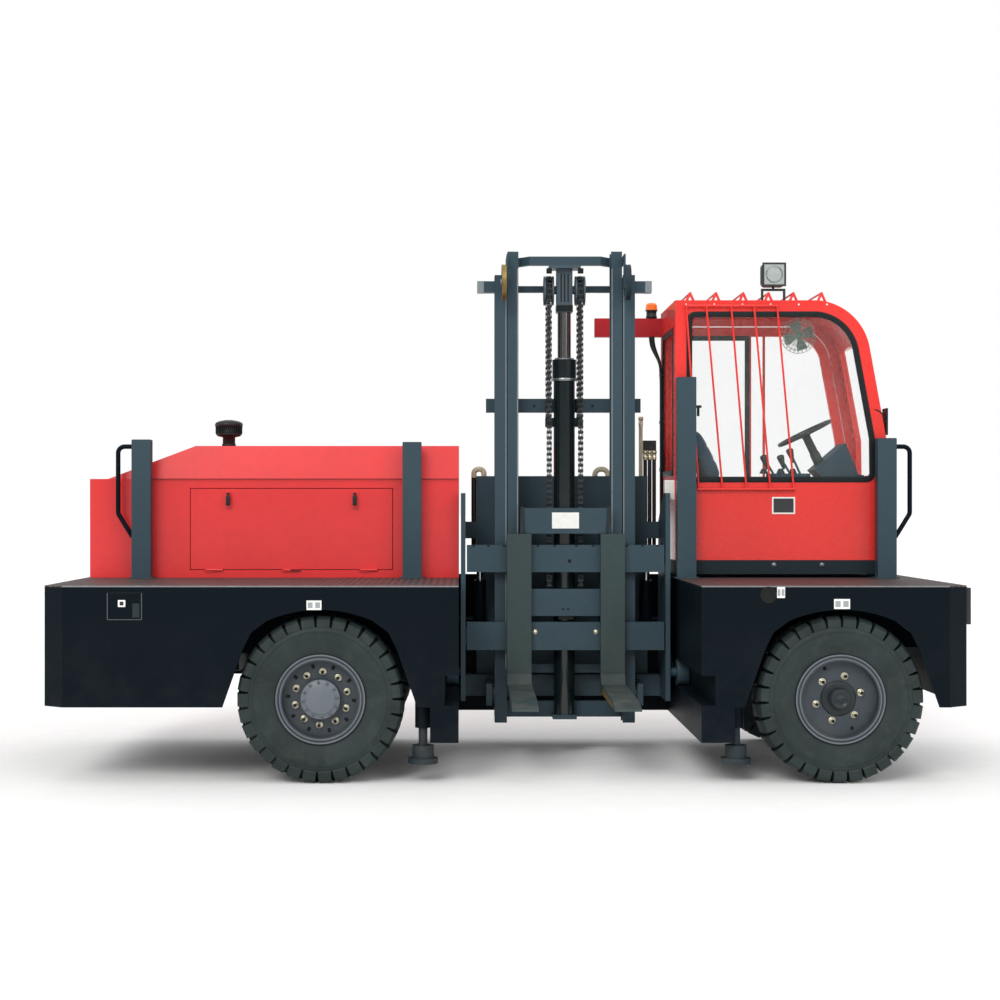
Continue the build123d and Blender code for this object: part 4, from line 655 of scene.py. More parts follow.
def run_tree(name, maker, values, mesh=None):
    """Runs a tree on a carrier object and returns the result as a plain mesh."""
    tree = tree_for(maker)
    carrier = bpy.data.objects.new(name, mesh or bpy.data.meshes.new(name))
    bpy.context.scene.collection.objects.link(carrier)
    modifier = carrier.modifiers.new("Repeat", "NODES")
    modifier.node_group = tree
    for item in tree.interface.items_tree:
        if item.item_type == "SOCKET" and item.in_out == "INPUT" and item.name in values:
            modifier[item.identifier] = values[item.name]
    seen = carrier.evaluated_get(bpy.context.evaluated_depsgraph_get())
    made = bpy.data.meshes.new_from_object(seen)
    carrier.modifiers.remove(modifier)
    old = carrier.data
    bpy.data.objects.remove(carrier)
    bpy.data.meshes.remove(old)
    made.name = name
    return made


def master(name, mesh):
    """A source object that a tree copies; removed once its copies are made."""
    source = bpy.data.objects.new(name, mesh)
    bpy.context.scene.collection.objects.link(source)
    return source


def drop(source):
    """Takes a source object out again."""
    bpy.data.objects.remove(source)


def ring_of(name, source, finish, count, radius, centre, turn, first=0.0):
    """A mesh of copies round a circle."""
    return run_tree(name, ring_tree, {
        "Piece": source, "Material": FINISH[finish], "Count": count, "Radius": radius,
        "First angle": first, "Centre": centre, "Turn": turn})


def row_of(name, source, finish, count, start, step):
    """A mesh of copies along a row."""
    return run_tree(name, row_tree, {
        "Piece": source, "Material": FINISH[finish], "Count": count, "Start": start,
        "Step": step})


def on_spots(name, source, finish, spots, size=1.0):
    """spots are (place, turn) pairs, the turn as an XYZ Euler."""
    mesh = bpy.data.meshes.new(name)
    mesh.from_pydata([place for place, _ in spots], [], [])
    turns = mesh.attributes.new("turn", "FLOAT_VECTOR", "POINT")
    turns.data.foreach_set("vector", [value for _, turn in spots for value in turn])
    return run_tree(name, spots_tree, {
        "Piece": source, "Material": FINISH[finish], "Size": size}, mesh)


def joined_mesh(name, meshes):
    """Several meshes as one."""
    form = bmesh.new()
    for mesh in meshes:
        form.from_mesh(mesh)
        bpy.data.meshes.remove(mesh)
    made = bpy.data.meshes.new(name)
    form.to_mesh(made)
    form.free()
    return made


# What a user would change


def length(label, meaning, default, low=0.0, high=100.0):
    """A length in metres, as a property."""
    return bpy.props.FloatProperty(name=label, description=meaning, default=default, min=low,
                                   max=high, unit="LENGTH")


def swatch(label, meaning, default):
    """A colour, as a property."""
    return bpy.props.FloatVectorProperty(name=label, description=meaning, default=default,
                                         subtype="COLOR", size=4)


class LoaderSizes(bpy.types.PropertyGroup):
    """Sizes of the parts that this file makes."""
    lug_count: bpy.props.IntProperty(
        name="Lugs a side", description="Tread lugs on each side of a tyre", default=31,
        min=12, max=48)
    lug_depth: length("Lug depth", "How far a lug stands out of the tread's base", 0.022,
                      0.005, 0.03)
    nut_width: length("Wheel nut width", "Across the flats of a wheel nut", 0.030, 0.019, 0.04)
    rear_nut_circle: length("Rear nut circle", "Diameter of the rear wheels' stud circle", 0.335)
    front_nut_circle: length("Front nut circle", "Diameter of the front wheels' stud circle",
                             0.290)
    chain_pitch: length("Chain pitch", "From pin to pin of the lift chains", 0.0381, 0.02, 0.06)
    bolt_width: length("Bolt width", "Across the flats of a frame bolt", 0.024, 0.01, 0.04)
    gasket_width: length("Gasket width", "Width of the black rubber round the cab's windows",
                         0.034, 0.01, 0.06)
    camera_distance: length("Camera distance", "From the camera to the machine's middle plane",
                            -EYE_Y, 4, 40)
    camera_height: length("Camera height", "Height of the camera above the ground", EYE_Z)


class LoaderColours(bpy.types.PropertyGroup):
    """Colours of the machine's finishes."""
    hood: swatch("Hood red", "Paint of the engine hood", srgb(222, 44, 46))
    cab: swatch("Cab red", "Paint of the cab", srgb(228, 48, 42))
    chassis: swatch("Chassis black", "Paint of the frame and skirts", srgb(6, 17, 25))
    mast: swatch("Mast slate", "Paint of the mast, posts and carriage", srgb(52, 71, 81))
    deck: swatch("Deck brown", "Worn paint of the tread plate decks", srgb(50, 44, 44))
    rubber: swatch("Tyre rubber", "Colour of the tyres", srgb(40, 50, 50))
    beacon: swatch("Beacon amber", "Colour of the beacon's lens", srgb(240, 112, 22))


def sizes():
    """The sizes that the panel shows."""
    return bpy.context.scene.loader_sizes


def colours():
    """The colours that the panel shows."""
    return bpy.context.scene.loader_colours


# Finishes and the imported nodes

NODES_BY_FINISH = {
    "chassis": "main_frame frame_rails rear_skirts front_skirts traverse_rails hand_rails "
               "jack_barrels tanks tilt_barrels",
    "deck": "deck_plates",
    "mast": "load_posts outer_mast inner_mast fork_carriage traverse_frame",
    "foot": "jack_rear jack_front",
    "axle": "rear_axle front_axle knuckle_near knuckle_far",
    "rod": "steering_rod tilt_rods",
    "hood": "hood_shell hood_door hood_cover",
    "engine": "engine_block",
    "sill": "cab_base",
    "cab": "cab_near_side cab_far_side cab_rear_wall cab_front_wall cab_roof cab_door cab_guard",
    "glass": "cab_glass cab_door_glass",
    "lamp_housing": "lamps",
    "beam": "beacon_beam",
    "console": "cab_controls driver_seat",
    "barrel": "lift_barrel",
    "lift_rod": "lift_rod",
    "fork": "forks",
    "pipes": "mast_pipes",
    "plastic": "air_precleaner steering_wheel",
    "fan_wire": "cab_fan",
    "amber": "beacon",
    "chain": "chain_wraps chain_front chain_back",
    "rim": "rim_rear_near rim_rear_far rim_front_near rim_front_far",
}


class LOADER_OT_finishes(bpy.types.Operator):
    """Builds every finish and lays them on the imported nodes"""
    bl_idname = "loader.finishes"
    bl_label = "Finishes"

    def execute(self, context):
        colour = colours()
        middle = (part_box("lift_barrel")[0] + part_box("lift_barrel")[1]) / 2
        FINISH.update({
            "chassis": paint("Chassis paint", colour.chassis, rough=0.42, worn=0.3, dusty=0.06,
                             coat=0.0, specular=0.08),
            "mast": paint("Mast paint", colour.mast, rough=0.42, worn=0.4, dusty=0.12, coat=0.0,
                          specular=0.22),
            "hood": paint("Hood paint", colour.hood, rough=0.3, worn=0.2, dusty=0.06, peel=0.08,
                          specular=0.45),
            "cab": paint("Cab paint", colour.cab, rough=0.26, worn=0.2, dusty=0.06, coat=0.3,
                         peel=0.08, specular=0.45),
            "sill": paint("Cab sill paint", srgb(30, 42, 48), rough=0.5, worn=0.4, dusty=0.15,
                          coat=0.0, specular=0.15),
            "axle": paint("Axle paint", srgb(20, 26, 28), rough=0.55, worn=0.6, dusty=0.4,
                          coat=0.0, specular=0.2),
            "rim": paint("Rim paint", srgb(50, 60, 68), rough=0.38, worn=0.7, dusty=0.25,
                         coat=0.1, specular=0.35),
            "rim_cap": paint("Hub cap paint", srgb(92, 100, 108), rough=0.42, worn=0.7, coat=0.1),
            "rim_dark": paint("Wheel disc paint", srgb(26, 36, 40), rough=0.42, worn=0.7,
                              dusty=0.25, coat=0.1, specular=0.3),
            "barrel": paint("Lift barrel paint", srgb(12, 24, 27), rough=0.2, worn=0.2,
                            dusty=0.05, coat=0.4, peel=0.05, specular=0.4),
            "deck": deck_tread("Deck tread plate", colour.deck),
            "rubber": tyre_rubber("Tyre rubber", colour.rubber),
            "engine": paint("Engine paint", srgb(110, 112, 114), rough=0.6, dusty=0.6, coat=0.0),
            "rod": bare_metal("Cylinder rod chrome", srgb(198, 200, 204), rough=0.14,
                              grain=(1.0, 1.0, 6.0), stained=0.15),
            "lift_rod": lift_rod_finish("Lift rod chrome and crosshead", srgb(176, 174, 174),
                                        colour.mast, middle.x, MAST["lift_y"], 0.046, 3.08),
            # The beam's red is darker than the cab's: painted shade cast by the mast.
            "beam": paint("Beam red with painted shade", srgb(176, 30, 38), rough=0.35, worn=0.3, dusty=0.1,
                          coat=0.1, peel=0.1, specular=0.3),
            # Light grey for the stubs' ends: a painted highlight.
            "stub_highlight_grey": paint("Stub end painted highlight", srgb(122, 132, 136), rough=0.4, worn=0.4,
                               dusty=0.1, coat=0.0),
            "worn_edge": paint("Worn paint edge", srgb(84, 96, 100), rough=0.5, worn=0.6,
                               dusty=0.2, coat=0.0),
            "foot": paint("Jack paint", srgb(34, 46, 52), rough=0.5, worn=0.6, coat=0.0,
                          specular=0.2),
            "chain": bare_metal("Oiled chain steel", srgb(64, 66, 68), rough=0.34,
                                grain=(30.0, 30.0, 30.0), stained=0.7),
            "zinc": bare_metal("Zinc plated nuts", srgb(226, 220, 196), grain=(8.0, 8.0, 8.0),
                               stained=0.25),
            "steel": bare_metal("Bare steel", srgb(150, 152, 155), rough=0.35,
                                grain=(1.0, 1.0, 20.0), stained=0.5),
            "fork": paint("Worn fork paint", srgb(50, 66, 66), rough=0.55, worn=1.0, dusty=0.35,
                          coat=0.0, peel=0.3, specular=0.3),
            "brass": bare_metal("Fork edge rubbed to yellow primer", srgb(168, 146, 92),
                                rough=0.5, grain=(9.0, 9.0, 9.0), stained=0.7),
            "glass": clear_glass("Cab glass", srgb(196, 214, 210), dirt=0.03),
            "lamp_housing": moulded("Lamp housing", srgb(42, 44, 46), rough=0.4),
            "lamp_glass": tinted_lens("Work lamp lens", srgb(166, 174, 172), glow=0.0, ribs=55.0),
            "reflector": bare_metal("Lamp reflector", srgb(190, 196, 196), rough=0.2,
                                    grain=(3.0, 3.0, 3.0), stained=0.3),
            "amber": tinted_lens("Beacon lens", colour.beacon, glow=0.25, ribs=120.0),
            "tail": tinted_lens("End lamp lens", srgb(178, 58, 30), ribs=70.0),
            "gasket": moulded("Window rubber", srgb(16, 22, 24), specular=0.25),
            "hose": moulded("Hose rubber", srgb(16, 18, 19), grain=320.0),
            "plastic": moulded("Black plastic", srgb(22, 26, 28), rough=0.42, specular=0.35),
            "console": moulded("Console plastic", srgb(34, 56, 72), rough=0.55, specular=0.2),
            "seat": woven("Driver cloth", srgb(36, 66, 88)),
            # White enamel; on the cab's rivets it is a painted highlight.
            "plate_white": printed_plate("White enamel plate", srgb(232, 233, 228)),
            "plate_dark": printed_plate("Dark enamel plate", srgb(38, 42, 46)),
            "plate_grey": printed_plate("Grey enamel field", srgb(150, 156, 158)),
            "pipes": pipe_finish("Pipes and hoses", srgb(196, 188, 160), srgb(16, 18, 19), 1.026),
            "backdrop": moulded("Floor white", srgb(250, 250, 250), rough=0.9, grain=4.0,
                                specular=0.0),
            "fan_wire": bare_metal("Fan guard wire", srgb(188, 196, 186), grain=(6.0, 6.0, 6.0),
                                   stained=0.2),
            "fan_blade": moulded("Fan blades", srgb(92, 136, 118), rough=0.35),
            # Near-black: painted shade in the holes, gaps, seams, slits and notches that use it; it
            # also colours the wheel studs.
            "dark": moulded("Dark recess", srgb(8, 9, 10), rough=0.8),
        })
        for finish, nodes in NODES_BY_FINISH.items():
            for node in nodes.split():
                slots = NODES[node].data.materials
                if not slots:
                    slots.append(FINISH[finish])
                for index in range(len(slots)):
                    slots[index] = FINISH[finish]
        return {"FINISHED"}


# Tyres and wheels


def wheel_centre(end, side):
    """The wheel's middle: the rim is round, so it gives X and Z, and the tyre gives Y."""
    low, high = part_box(f"rim_{end}_{side}")
    centre = (low + high) / 2
    low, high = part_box(f"tyre_{end}_{side}")
    centre.y = (low.y + high.y) / 2
    return centre


def lug_mesh(width, depth, outer, half):
    """One tread lug: local X is outwards, Y along the tread, Z towards the sidewall."""
    base = outer - depth
    outline = [
        (base, 0.004), (outer, 0.004), (outer - 0.001, half * 0.45), (outer - 0.006, half * 0.72),
        (outer - 0.014, half * 0.86), (outer - 0.026, half * 0.985), (outer - 0.070, half),
        (outer - 0.078, half * 0.975), (outer - 0.080, half * 0.76), (base - 0.020, half * 0.60),
    ]
    form = bmesh.new()
    near = [form.verts.new((r, -width / 2, z)) for r, z in outline]
    far = [form.verts.new((r, width / 2, z)) for r, z in outline]
    count = len(outline)
    for i in range(count):
        j = (i + 1) % count
        form.faces.new((near[i], near[j], far[j], far[i]))
    form.faces.new(near[::-1])
    form.faces.new(far)
    bmesh.ops.recalc_face_normals(form, faces=form.faces)
    return close_bmesh(form, "Lug")


def carcass_mesh(name, centre, outward, outer, half, depth):
    """The tyre's body: bead, bulging sidewalls with moulded rings, and the tread's base."""
    side = [
        (0.2545, 0.100), (0.262, 0.112), (0.275, 0.1165), (0.288, 0.1135), (0.294, 0.1145),
        (0.305, 0.1175), (0.330, 0.1245), (0.356, 0.1310), (0.376, 0.1350), (0.392, 0.1368),
        (0.404, 0.1372), (0.416, 0.1366), (0.4165, 0.1345), (0.4215, 0.1342), (0.4225, 0.1362),
        (0.4395, 0.1352), (0.4415, 0.1335), (0.4490, 0.1325), (0.4530, 0.1240),
        (0.4545, 0.0900), (0.4680, 0.0780), (outer - depth - 0.010, 0.068), (outer - depth, 0.050),
    ]
    profile = [(z * half / 0.1375, r) for r, z in side]
    profile = profile + [(-z, r) for z, r in profile[::-1]]
    form = bmesh.new()
    add_turned(form, [(-z, r) for z, r in profile], centre, (0, outward, 0), 124, closed=False)
    add_turned(form, [profile[0], profile[-1]], centre, (0, outward, 0), 124, closed=False)
    return close_bmesh(form, name, math.radians(48), recalc=True)


class LOADER_OT_tyres(bpy.types.Operator):
    """Replaces the four plain tyres with lugged ones"""
    bl_idname = "loader.tyres"
    bl_label = "Tyres"

    def execute(self, context):
        size = sizes()
        low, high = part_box("tyre_rear_near")
        outer = wheel_centre("rear", "near").z - low.z
        half = (high.y - low.y) / 2
        pitch = 2 * math.pi * outer / size.lug_count
        lug = master("Lug", lug_mesh(pitch * LUG_SHARE, size.lug_depth, outer - 0.0005,
                                     half - 0.0004))
        for end in ("rear", "front"):
            for side, outward in (("near", -1), ("far", 1)):
                centre = wheel_centre(end, side)
                name = f"lugged_tyre_{end}_{side}"
                meshes = [carcass_mesh(name, centre, outward, outer, half, size.lug_depth)]
                shift = 0.11 if end == "rear" else 0.04
                for turn, first in ((FACE_NEAR, shift),
                                    (FACE_FAR, shift + math.pi / size.lug_count)):
                    meshes.append(ring_of(name + "_lugs", lug, "rubber", size.lug_count, 0.0,
                                          centre, turn, first))
                piece = new_piece(name, joined_mesh(name, meshes), "rubber",
                                  f"wheel_{end}_{side}")
                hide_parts(f"tyre_{end}_{side}")
        drop(lug)
        return {"FINISHED"}


def nut_mesh(name, width, height, stud_radius, stud_height, washer=1.35):
    """A hexagon nut on a washer with its stud's end; local Z is outwards."""
    form = bmesh.new()
    add_turned(form, [(0, width * washer / 2), (height * 0.16, width * washer / 2),
                      (height * 0.18, width * 0.56)], (0, 0, 0), (0, 0, 1), 16)
    corner = width / 2 / math.cos(math.pi / 6)
    add_turned(form, [(height * 0.17, corner * 0.98), (height * 0.85, corner),
                      (height, corner * 0.86)], (0, 0, 0), (0, 0, 1), 6)
    add_turned(form, [(height * 0.9, stud_radius), (height + stud_height * 0.85, stud_radius),
                      (height + stud_height, stud_radius * 0.75)], (0, 0, 0), (0, 0, 1), 10)
    return close_bmesh(form, name, math.radians(40))


def add_vents(end, side, centre, outward, turn, body):
    """Hand holes in the disc as flat dark pieces of painted shade, and the valve stem."""
    # Flat dark pieces for the hand holes: painted shade.
    form = bmesh.new()
    if end == "rear":
        add_slab(form, (-0.013, -0.010, 0.0), (0.013, 0.010, 0.003), 0.0025)
        count, radius, first = 10, 0.206, 0.25 + math.pi / 10
    else:
        add_turned(form, [(0.0, 0.012), (0.003, 0.012), (0.0035, 0.009)], (0, 0, 0), (0, 0, 1), 16)
        count, radius, first = 2, 0.205, 2.0
    hole = master("Hand hole", close_bmesh(form, "Hand hole"))
    spot = centre + Vector((0, outward * DISC_FACE, 0))
    holes = ring_of(f"hand_holes_{end}_{side}", hole, "dark", count, radius, spot, turn, first)
    new_piece(f"hand_holes_{end}_{side}", holes, "dark", body)
    drop(hole)
    angle = 0.9 if end == "rear" else 2.35
    foot = centre + Vector((math.cos(angle) * 0.226, outward * DISC_FACE, math.sin(angle) * 0.226))
    tip = foot + Vector((math.cos(angle) * 0.012, outward * 0.052, math.sin(angle) * 0.012))
    new_piece(f"valve_{end}_{side}", tube_mesh(f"valve_{end}_{side}", [[foot, tip]], 0.005),
              "steel", body)


def add_rim_rings(end, side, centre, axis, body):
    """Lips of the flange's two rings in light paint as painted highlights, and dark rings beside
    them as painted shade in the joints.
    """
    # Light lips: painted highlights on the flange's rings.
    lips = bmesh.new()
    for radius, wide, out in ((0.2790, 0.011, 0.1264), (0.2560, 0.009, 0.1262)):
        add_turned(lips, [(out - 0.006, radius - wide), (out, radius - wide * 0.7),
                          (out + 0.0012, radius - wide * 0.3), (out, radius),
                          (out - 0.006, radius + 0.001)], centre, axis, 72, closed=False)
    form_piece(f"lock_ring_{end}_{side}", lips, "rim_cap", body, 50)
    # Dark rings: painted shade in the joints between flange, lock ring and tyre.
    joints = bmesh.new()
    for inner, outer, out in ((0.2796, 0.2860, 0.1225), (0.2610, 0.2636, 0.1246)):
        add_turned(joints, [(out - 0.006, inner), (out, inner), (out, outer),
                            (out - 0.006, outer)], centre, axis, 72, closed=False)
    form_piece(f"rim_joints_{end}_{side}", joints, "dark", body, 50)


def add_hub_cover(end, side, centre, axis, cap_out, body):
    """The hub's cap over the rim's own; the front one also has a raised ring round it."""
    cover = bmesh.new()
    if end == "rear":
        steps = [(-0.012, 0.124), (0.002, 0.123), (0.004, 0.118), (0.004, 0.098),
                 (0.010, 0.094), (0.013, 0.086), (0.014, 0.0)]
    else:
        steps = [(-0.010, 0.061), (0.001, 0.060), (0.003, 0.056), (0.003, 0.046),
                 (-0.003, 0.042), (-0.004, 0.020), (0.001, 0.014), (0.001, 0.0)]
    add_turned(cover, [(cap_out + step, radius) for step, radius in steps], centre, axis, 48,
               closed=False)
    if end == "front":
        add_turned(cover, [(DISC_FACE, 0.112), (DISC_FACE + 0.006, 0.110),
                           (DISC_FACE + 0.010, 0.102), (DISC_FACE + 0.010, 0.066)], centre,
                   axis, 56, closed=False)
    form_piece(f"hub_cover_{end}_{side}", cover, "rim_cap" if end == "rear" else "rim_dark",
               body, 35)


class LOADER_OT_wheel_hardware(bpy.types.Operator):
    """Adds wheel nuts, studs, hub covers, flange rings, hand holes and valves"""
    bl_idname = "loader.wheel_hardware"
    bl_label = "Wheel hardware"

    def execute(self, context):
        size = sizes()
        nut = master("Wheel nut", nut_mesh("Wheel nut", size.nut_width, 0.024, 0.009, 0.010, 1.6))
        small = master("Cover bolt", nut_mesh("Cover bolt", 0.017, 0.010, 0.004, 0.0))
        form = bmesh.new()
        add_turned(form, [(0.024, 0.0105), (0.0365, 0.0103), (0.0368, 0.008)], (0, 0, 0),
                   (0, 0, 1), 14)
        stud = master("Wheel stud", close_bmesh(form, "Wheel stud"))
        for end, count, circle in (("rear", 10, size.rear_nut_circle),
                                   ("front", 6, size.front_nut_circle)):
            for side, outward, turn in (("near", -1, FACE_NEAR), ("far", 1, FACE_FAR)):
                body = f"wheel_{end}_{side}"
                centre = wheel_centre(end, side)
                low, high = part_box(f"rim_{end}_{side}")
                cap_out = abs((low.y if outward < 0 else high.y) - centre.y)
                disc = centre + Vector((0, outward * DISC_FACE, 0))
                nuts = ring_of(f"nuts_{end}_{side}", nut, "zinc", count, circle / 2, disc,
                               turn, 0.25)
                new_piece(f"wheel_nuts_{end}_{side}", nuts, "zinc", body)
                studs = ring_of(f"studs_{end}_{side}", stud, "dark", count, circle / 2, disc,
                                turn, 0.25)
                new_piece(f"wheel_studs_{end}_{side}", studs, "dark", body)
                add_rim_rings(end, side, centre, (0, outward, 0), body)
                if end == "rear":
                    spot = centre + Vector((0, outward * (cap_out + 0.003), 0))
                    bolts = ring_of(f"bolts_{end}_{side}", small, "rim_cap", 12, 0.108, spot,
                                    turn, 0.1)
                    new_piece(f"cover_bolts_{end}_{side}", bolts, "rim_cap", body)
                add_hub_cover(end, side, centre, (0, outward, 0), cap_out, body)
                add_vents(end, side, centre, outward, turn, body)
        drop(nut)
        drop(small)
        drop(stud)
        return {"FINISHED"}


# Chains


def link_mesh(pitch, width, height, plate):
    """One link of leaf chain along local Z: a figure-eight plate pack with its pin."""
    form = bmesh.new()
    steps = 7
    outline = []
    for end, start_angle in ((pitch / 2, 0.0), (-pitch / 2, math.pi)):
        for i in range(steps):
            angle = start_angle + math.pi * i / (steps - 1)
            outline.append((math.cos(angle) * height / 2, end + math.sin(angle) * height / 2))
    outline.insert(steps, (-height * 0.36, 0.0))
    outline.append((height * 0.36, 0.0))
    for x in (-width / 2, -width / 2 + 2.6 * plate, width / 2 - 3.6 * plate, width / 2 - plate):
        add_prism(form, outline, "X", x, x + plate)
    for z in (-pitch / 2, pitch / 2):
        add_turned(form, [(0, height * 0.20), (width + 0.004, height * 0.20)],
                   (-width / 2 - 0.002, 0, z), (1, 0, 0), 10)
    return close_bmesh(form, "Chain link")


def add_anchors(xs, front_low, back_low):
    """Threaded anchor bolts with nuts at the chains' ends."""
    for label, low, body, slot in (("front", front_low, "fork_carriage", "mast_slate"),
                                   ("back", back_low, "outer_mast", "frame_black")):
        form = bmesh.new()
        y = low.y + 0.015
        for x in xs:
            add_turned(form, [(0, 0.010), (0.045, 0.010)], (x, y, low.z - 0.002), (0, 0, 1), 12)
            add_turned(form, [(0, 0.016), (0.014, 0.016)], (x, y, low.z), (0, 0, 1), 6)
            add_turned(form, [(0, 0.016), (0.014, 0.016)], (x, y, low.z + 0.016), (0, 0, 1), 6)
        form_piece(f"chain_anchor_{label}", form, "steel", body, 40)


class LOADER_OT_chains(bpy.types.Operator):
    """Replaces the plain chain strands with leaf chain; its wraps over the sheave ride on the inner
    mast
    """
    bl_idname = "loader.chains"
    bl_label = "Lift chains"

    def execute(self, context):
        size = sizes()
        pitch = size.chain_pitch
        wrap_low, wrap_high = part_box("chain_wraps")
        front_low, front_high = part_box("chain_front")
        back_low, back_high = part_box("chain_back")
        width = 0.034
        thick = front_high.y - front_low.y
        middle_x = (wrap_low.x + wrap_high.x) / 2
        xs = (front_low.x + 0.020, front_high.x - 0.020)
        sheave = Vector((middle_x, (wrap_low.y + wrap_high.y) / 2, front_high.z))
        radius = sheave.y - (front_low.y + front_high.y) / 2
        outer = master("Outer link", link_mesh(pitch, width, thick * 0.88, 0.0032))
        inner = master("Inner link", link_mesh(pitch, width * 0.72, thick * 0.80, 0.0032))
        for label, low, high, bodies in (
                ("front", front_low, front_high, ("fork_carriage", "inner_mast")),
                ("back", back_low, back_high, ("outer_mast", "inner_mast"))):
            y = (low.y + high.y) / 2
            meshes = []
            for x in xs:
                for offset, source in ((0.0, outer), (1.0, inner)):
                    start = (x, y, high.z - pitch * (0.5 + offset))
                    count = int((start[2] - low.z - pitch / 2) / (2 * pitch)) + 1
                    meshes.append(row_of("strand", source, "chain", count, start,
                                         (0, 0, -2 * pitch)))
            name = f"leaf_chain_{label}"
            piece = new_piece(name, joined_mesh(name, meshes), "chain", None)
            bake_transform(piece)
            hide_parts(f"chain_{label}")
        steps = max(6, round(math.pi * radius / pitch))
        spots = {0: [], 1: []}
        for x in xs:
            for i in range(steps):
                angle = math.pi * (i + 0.5) / steps
                place = sheave + Vector((x - middle_x, -math.cos(angle) * radius,
                                         math.sin(angle) * radius))
                spots[i % 2].append((tuple(place), (-angle, 0, 0)))
        meshes = [on_spots("wrap", source, "chain", spots[key])
                  for key, source in ((0, inner), (1, outer))]
        piece = new_piece("leaf_chain_wraps", joined_mesh("leaf_chain_wraps", meshes), "chain",
                          "inner_mast")
        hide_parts("chain_wraps")
        drop(outer)
        drop(inner)
        add_anchors(xs, front_low, back_low)
        return {"FINISHED"}


# Frame, deck and posts


def add_deck_edges(low, high):
    """A bright steel rim along the near edge of both decks: painted highlight."""
    form = bmesh.new()
    rear_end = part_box("rear_skirts")[1].x
    front_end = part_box("front_skirts")[0].x
    # Bright steel strips: painted highlight on the decks' edges.
    for x0, x1 in ((low.x + 0.130, rear_end), (front_end, high.x - 0.130)):
        add_slab(form, (x0, low.y - 0.0012, high.z - 0.0065), (x1, low.y + 0.004, high.z + 0.0012),
                 0.0006)
    form_piece("deck_edge_wear", form, "steel", "chassis")


def add_tool_panel(near):
    """The small locker door in the rear skirt, with its latch."""
    x0, x1, z0, z1 = photo_box(*LOCKER, SKIRT_Y)
    slab_piece("locker_door", (x0, near - 0.003, z0), (x1, near + 0.002, z1), 0.0015,
               "chassis", "chassis")
    # Dark strips round the door: painted shade in its gap.
    form = bmesh.new()
    for a, b in (((x0 - 0.004, z0 - 0.004), (x0, z1 + 0.004)),
                 ((x1, z0 - 0.004), (x1 + 0.004, z1 + 0.004)),
                 ((x0, z0 - 0.004), (x1, z0)), ((x0, z1), (x1, z1 + 0.004))):
        add_slab(form, (a[0], near - 0.0008, a[1]), (b[0], near + 0.002, b[1]))
    form_piece("locker_gap", form, "dark", "chassis")
    lines = bmesh.new()
    for a, b in (((x0 + 0.001, z0 + 0.001), (x0 + 0.0045, z1 - 0.001)),
                 ((x0 + 0.001, z0 + 0.001), (x1 - 0.001, z0 + 0.004)),
                 ((x1 - 0.0045, z0 + 0.001), (x1 - 0.001, z1 - 0.001))):
        add_slab(lines, (a[0], near - 0.0036, a[1]), (b[0], near - 0.002, b[1]))
    form_piece("locker_edge_wear", lines, "worn_edge", "chassis")
    lx0, lx1, lz0, lz1 = photo_box(*LOCKER_LATCH, near)
    slab_piece("locker_latch", (lx0, near - 0.006, lz0), (lx1, near - 0.002, lz1), 0.003,
               "plate_white", "chassis")
    grip = bmesh.new()
    add_slab(grip, (lx0 + 0.012, near - 0.008, lz0 + 0.010),
             (lx1 - 0.012, near - 0.005, lz1 - 0.010), 0.001)
    gx0, gx1, gz0, gz1 = photo_box(*LOCKER_GRIP, near)
    add_slab(grip, (gx0, near - 0.0046, gz0), (gx1, near - 0.002, gz1), 0.001)
    form_piece("locker_grip", grip, "foot", "chassis")


def add_near_plates(near):
    """Blank plates over the wheels and on the front skirt, and the round lifting hole as a dark
    disc of painted shade.
    """
    form = bmesh.new()
    dark = bmesh.new()
    for plate in BLANK_PLATES:
        x0, x1, z0, z1 = photo_box(*plate, SKIRT_Y)
        add_slab(form, (x0, near - 0.0016, z0), (x1, near + 0.001, z1), 0.0005)
        third = (x1 - x0) / 2
        for i in range(2):
            a = x0 + third * i + third * 0.16
            add_slab(dark, (a, near - 0.0022, z0 + (z1 - z0) * 0.2),
                     (a + third * 0.66, near - 0.0012, z1 - (z1 - z0) * 0.2), 0.0004)
    form_piece("blank_plates", form, "plate_white", "chassis")
    form_piece("blank_plate_fields", dark, "plate_grey", "chassis")
    # Lifting hole as a dark disc: painted shade.
    hole = bmesh.new()
    x, z = photo_point(*LIFTING_HOLE, SKIRT_Y)
    add_turned(hole, [(0, 0.052), (0.003, 0.052), (0.004, 0.047), (0.002, 0.044)],
               (x, near, z), (0, -1, 0), 32)
    form_piece("lifting_hole", hole, "dark", "chassis", 40)


def add_sill_bolts():
    """Hexagon bolts of the cab's sill on its far side."""
    size = sizes()
    bolt = master("Frame bolt", nut_mesh("Frame bolt", size.bolt_width, 0.014, 0.006, 0.002))
    spots = []
    cab_low, cab_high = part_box("cab_base")
    for x in (cab_low.x + 0.20, cab_low.x + 0.62, cab_low.x + 1.04, cab_high.x - 0.10):
        spots.append(((x, cab_high.y, cab_low.z + 0.05), FACE_FAR))
    new_piece("frame_bolts", on_spots("frame_bolts", bolt, "chassis", spots), "chassis",
              "chassis")
    drop(bolt)


def add_end_lamps():
    """Lenses and rims of the two lamps on the cab's end."""
    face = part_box("lamps")[1].x
    form = bmesh.new()
    rim = bmesh.new()
    for s in (-1, 1):
        y = s * LAMP_END_Y
        add_slab(form, (face - 0.012, y - 0.047, 0.993), (face - 0.0005, y + 0.047, 1.207), 0.006)
        add_slab(rim, (face - 0.018, y - 0.0549, 1.094), (face - 0.0004, y + 0.0549, 1.106), 0.001)
    form_piece("end_lamp_lenses", form, "tail", "chassis")
    form_piece("end_lamp_bars", rim, "plastic", "chassis")


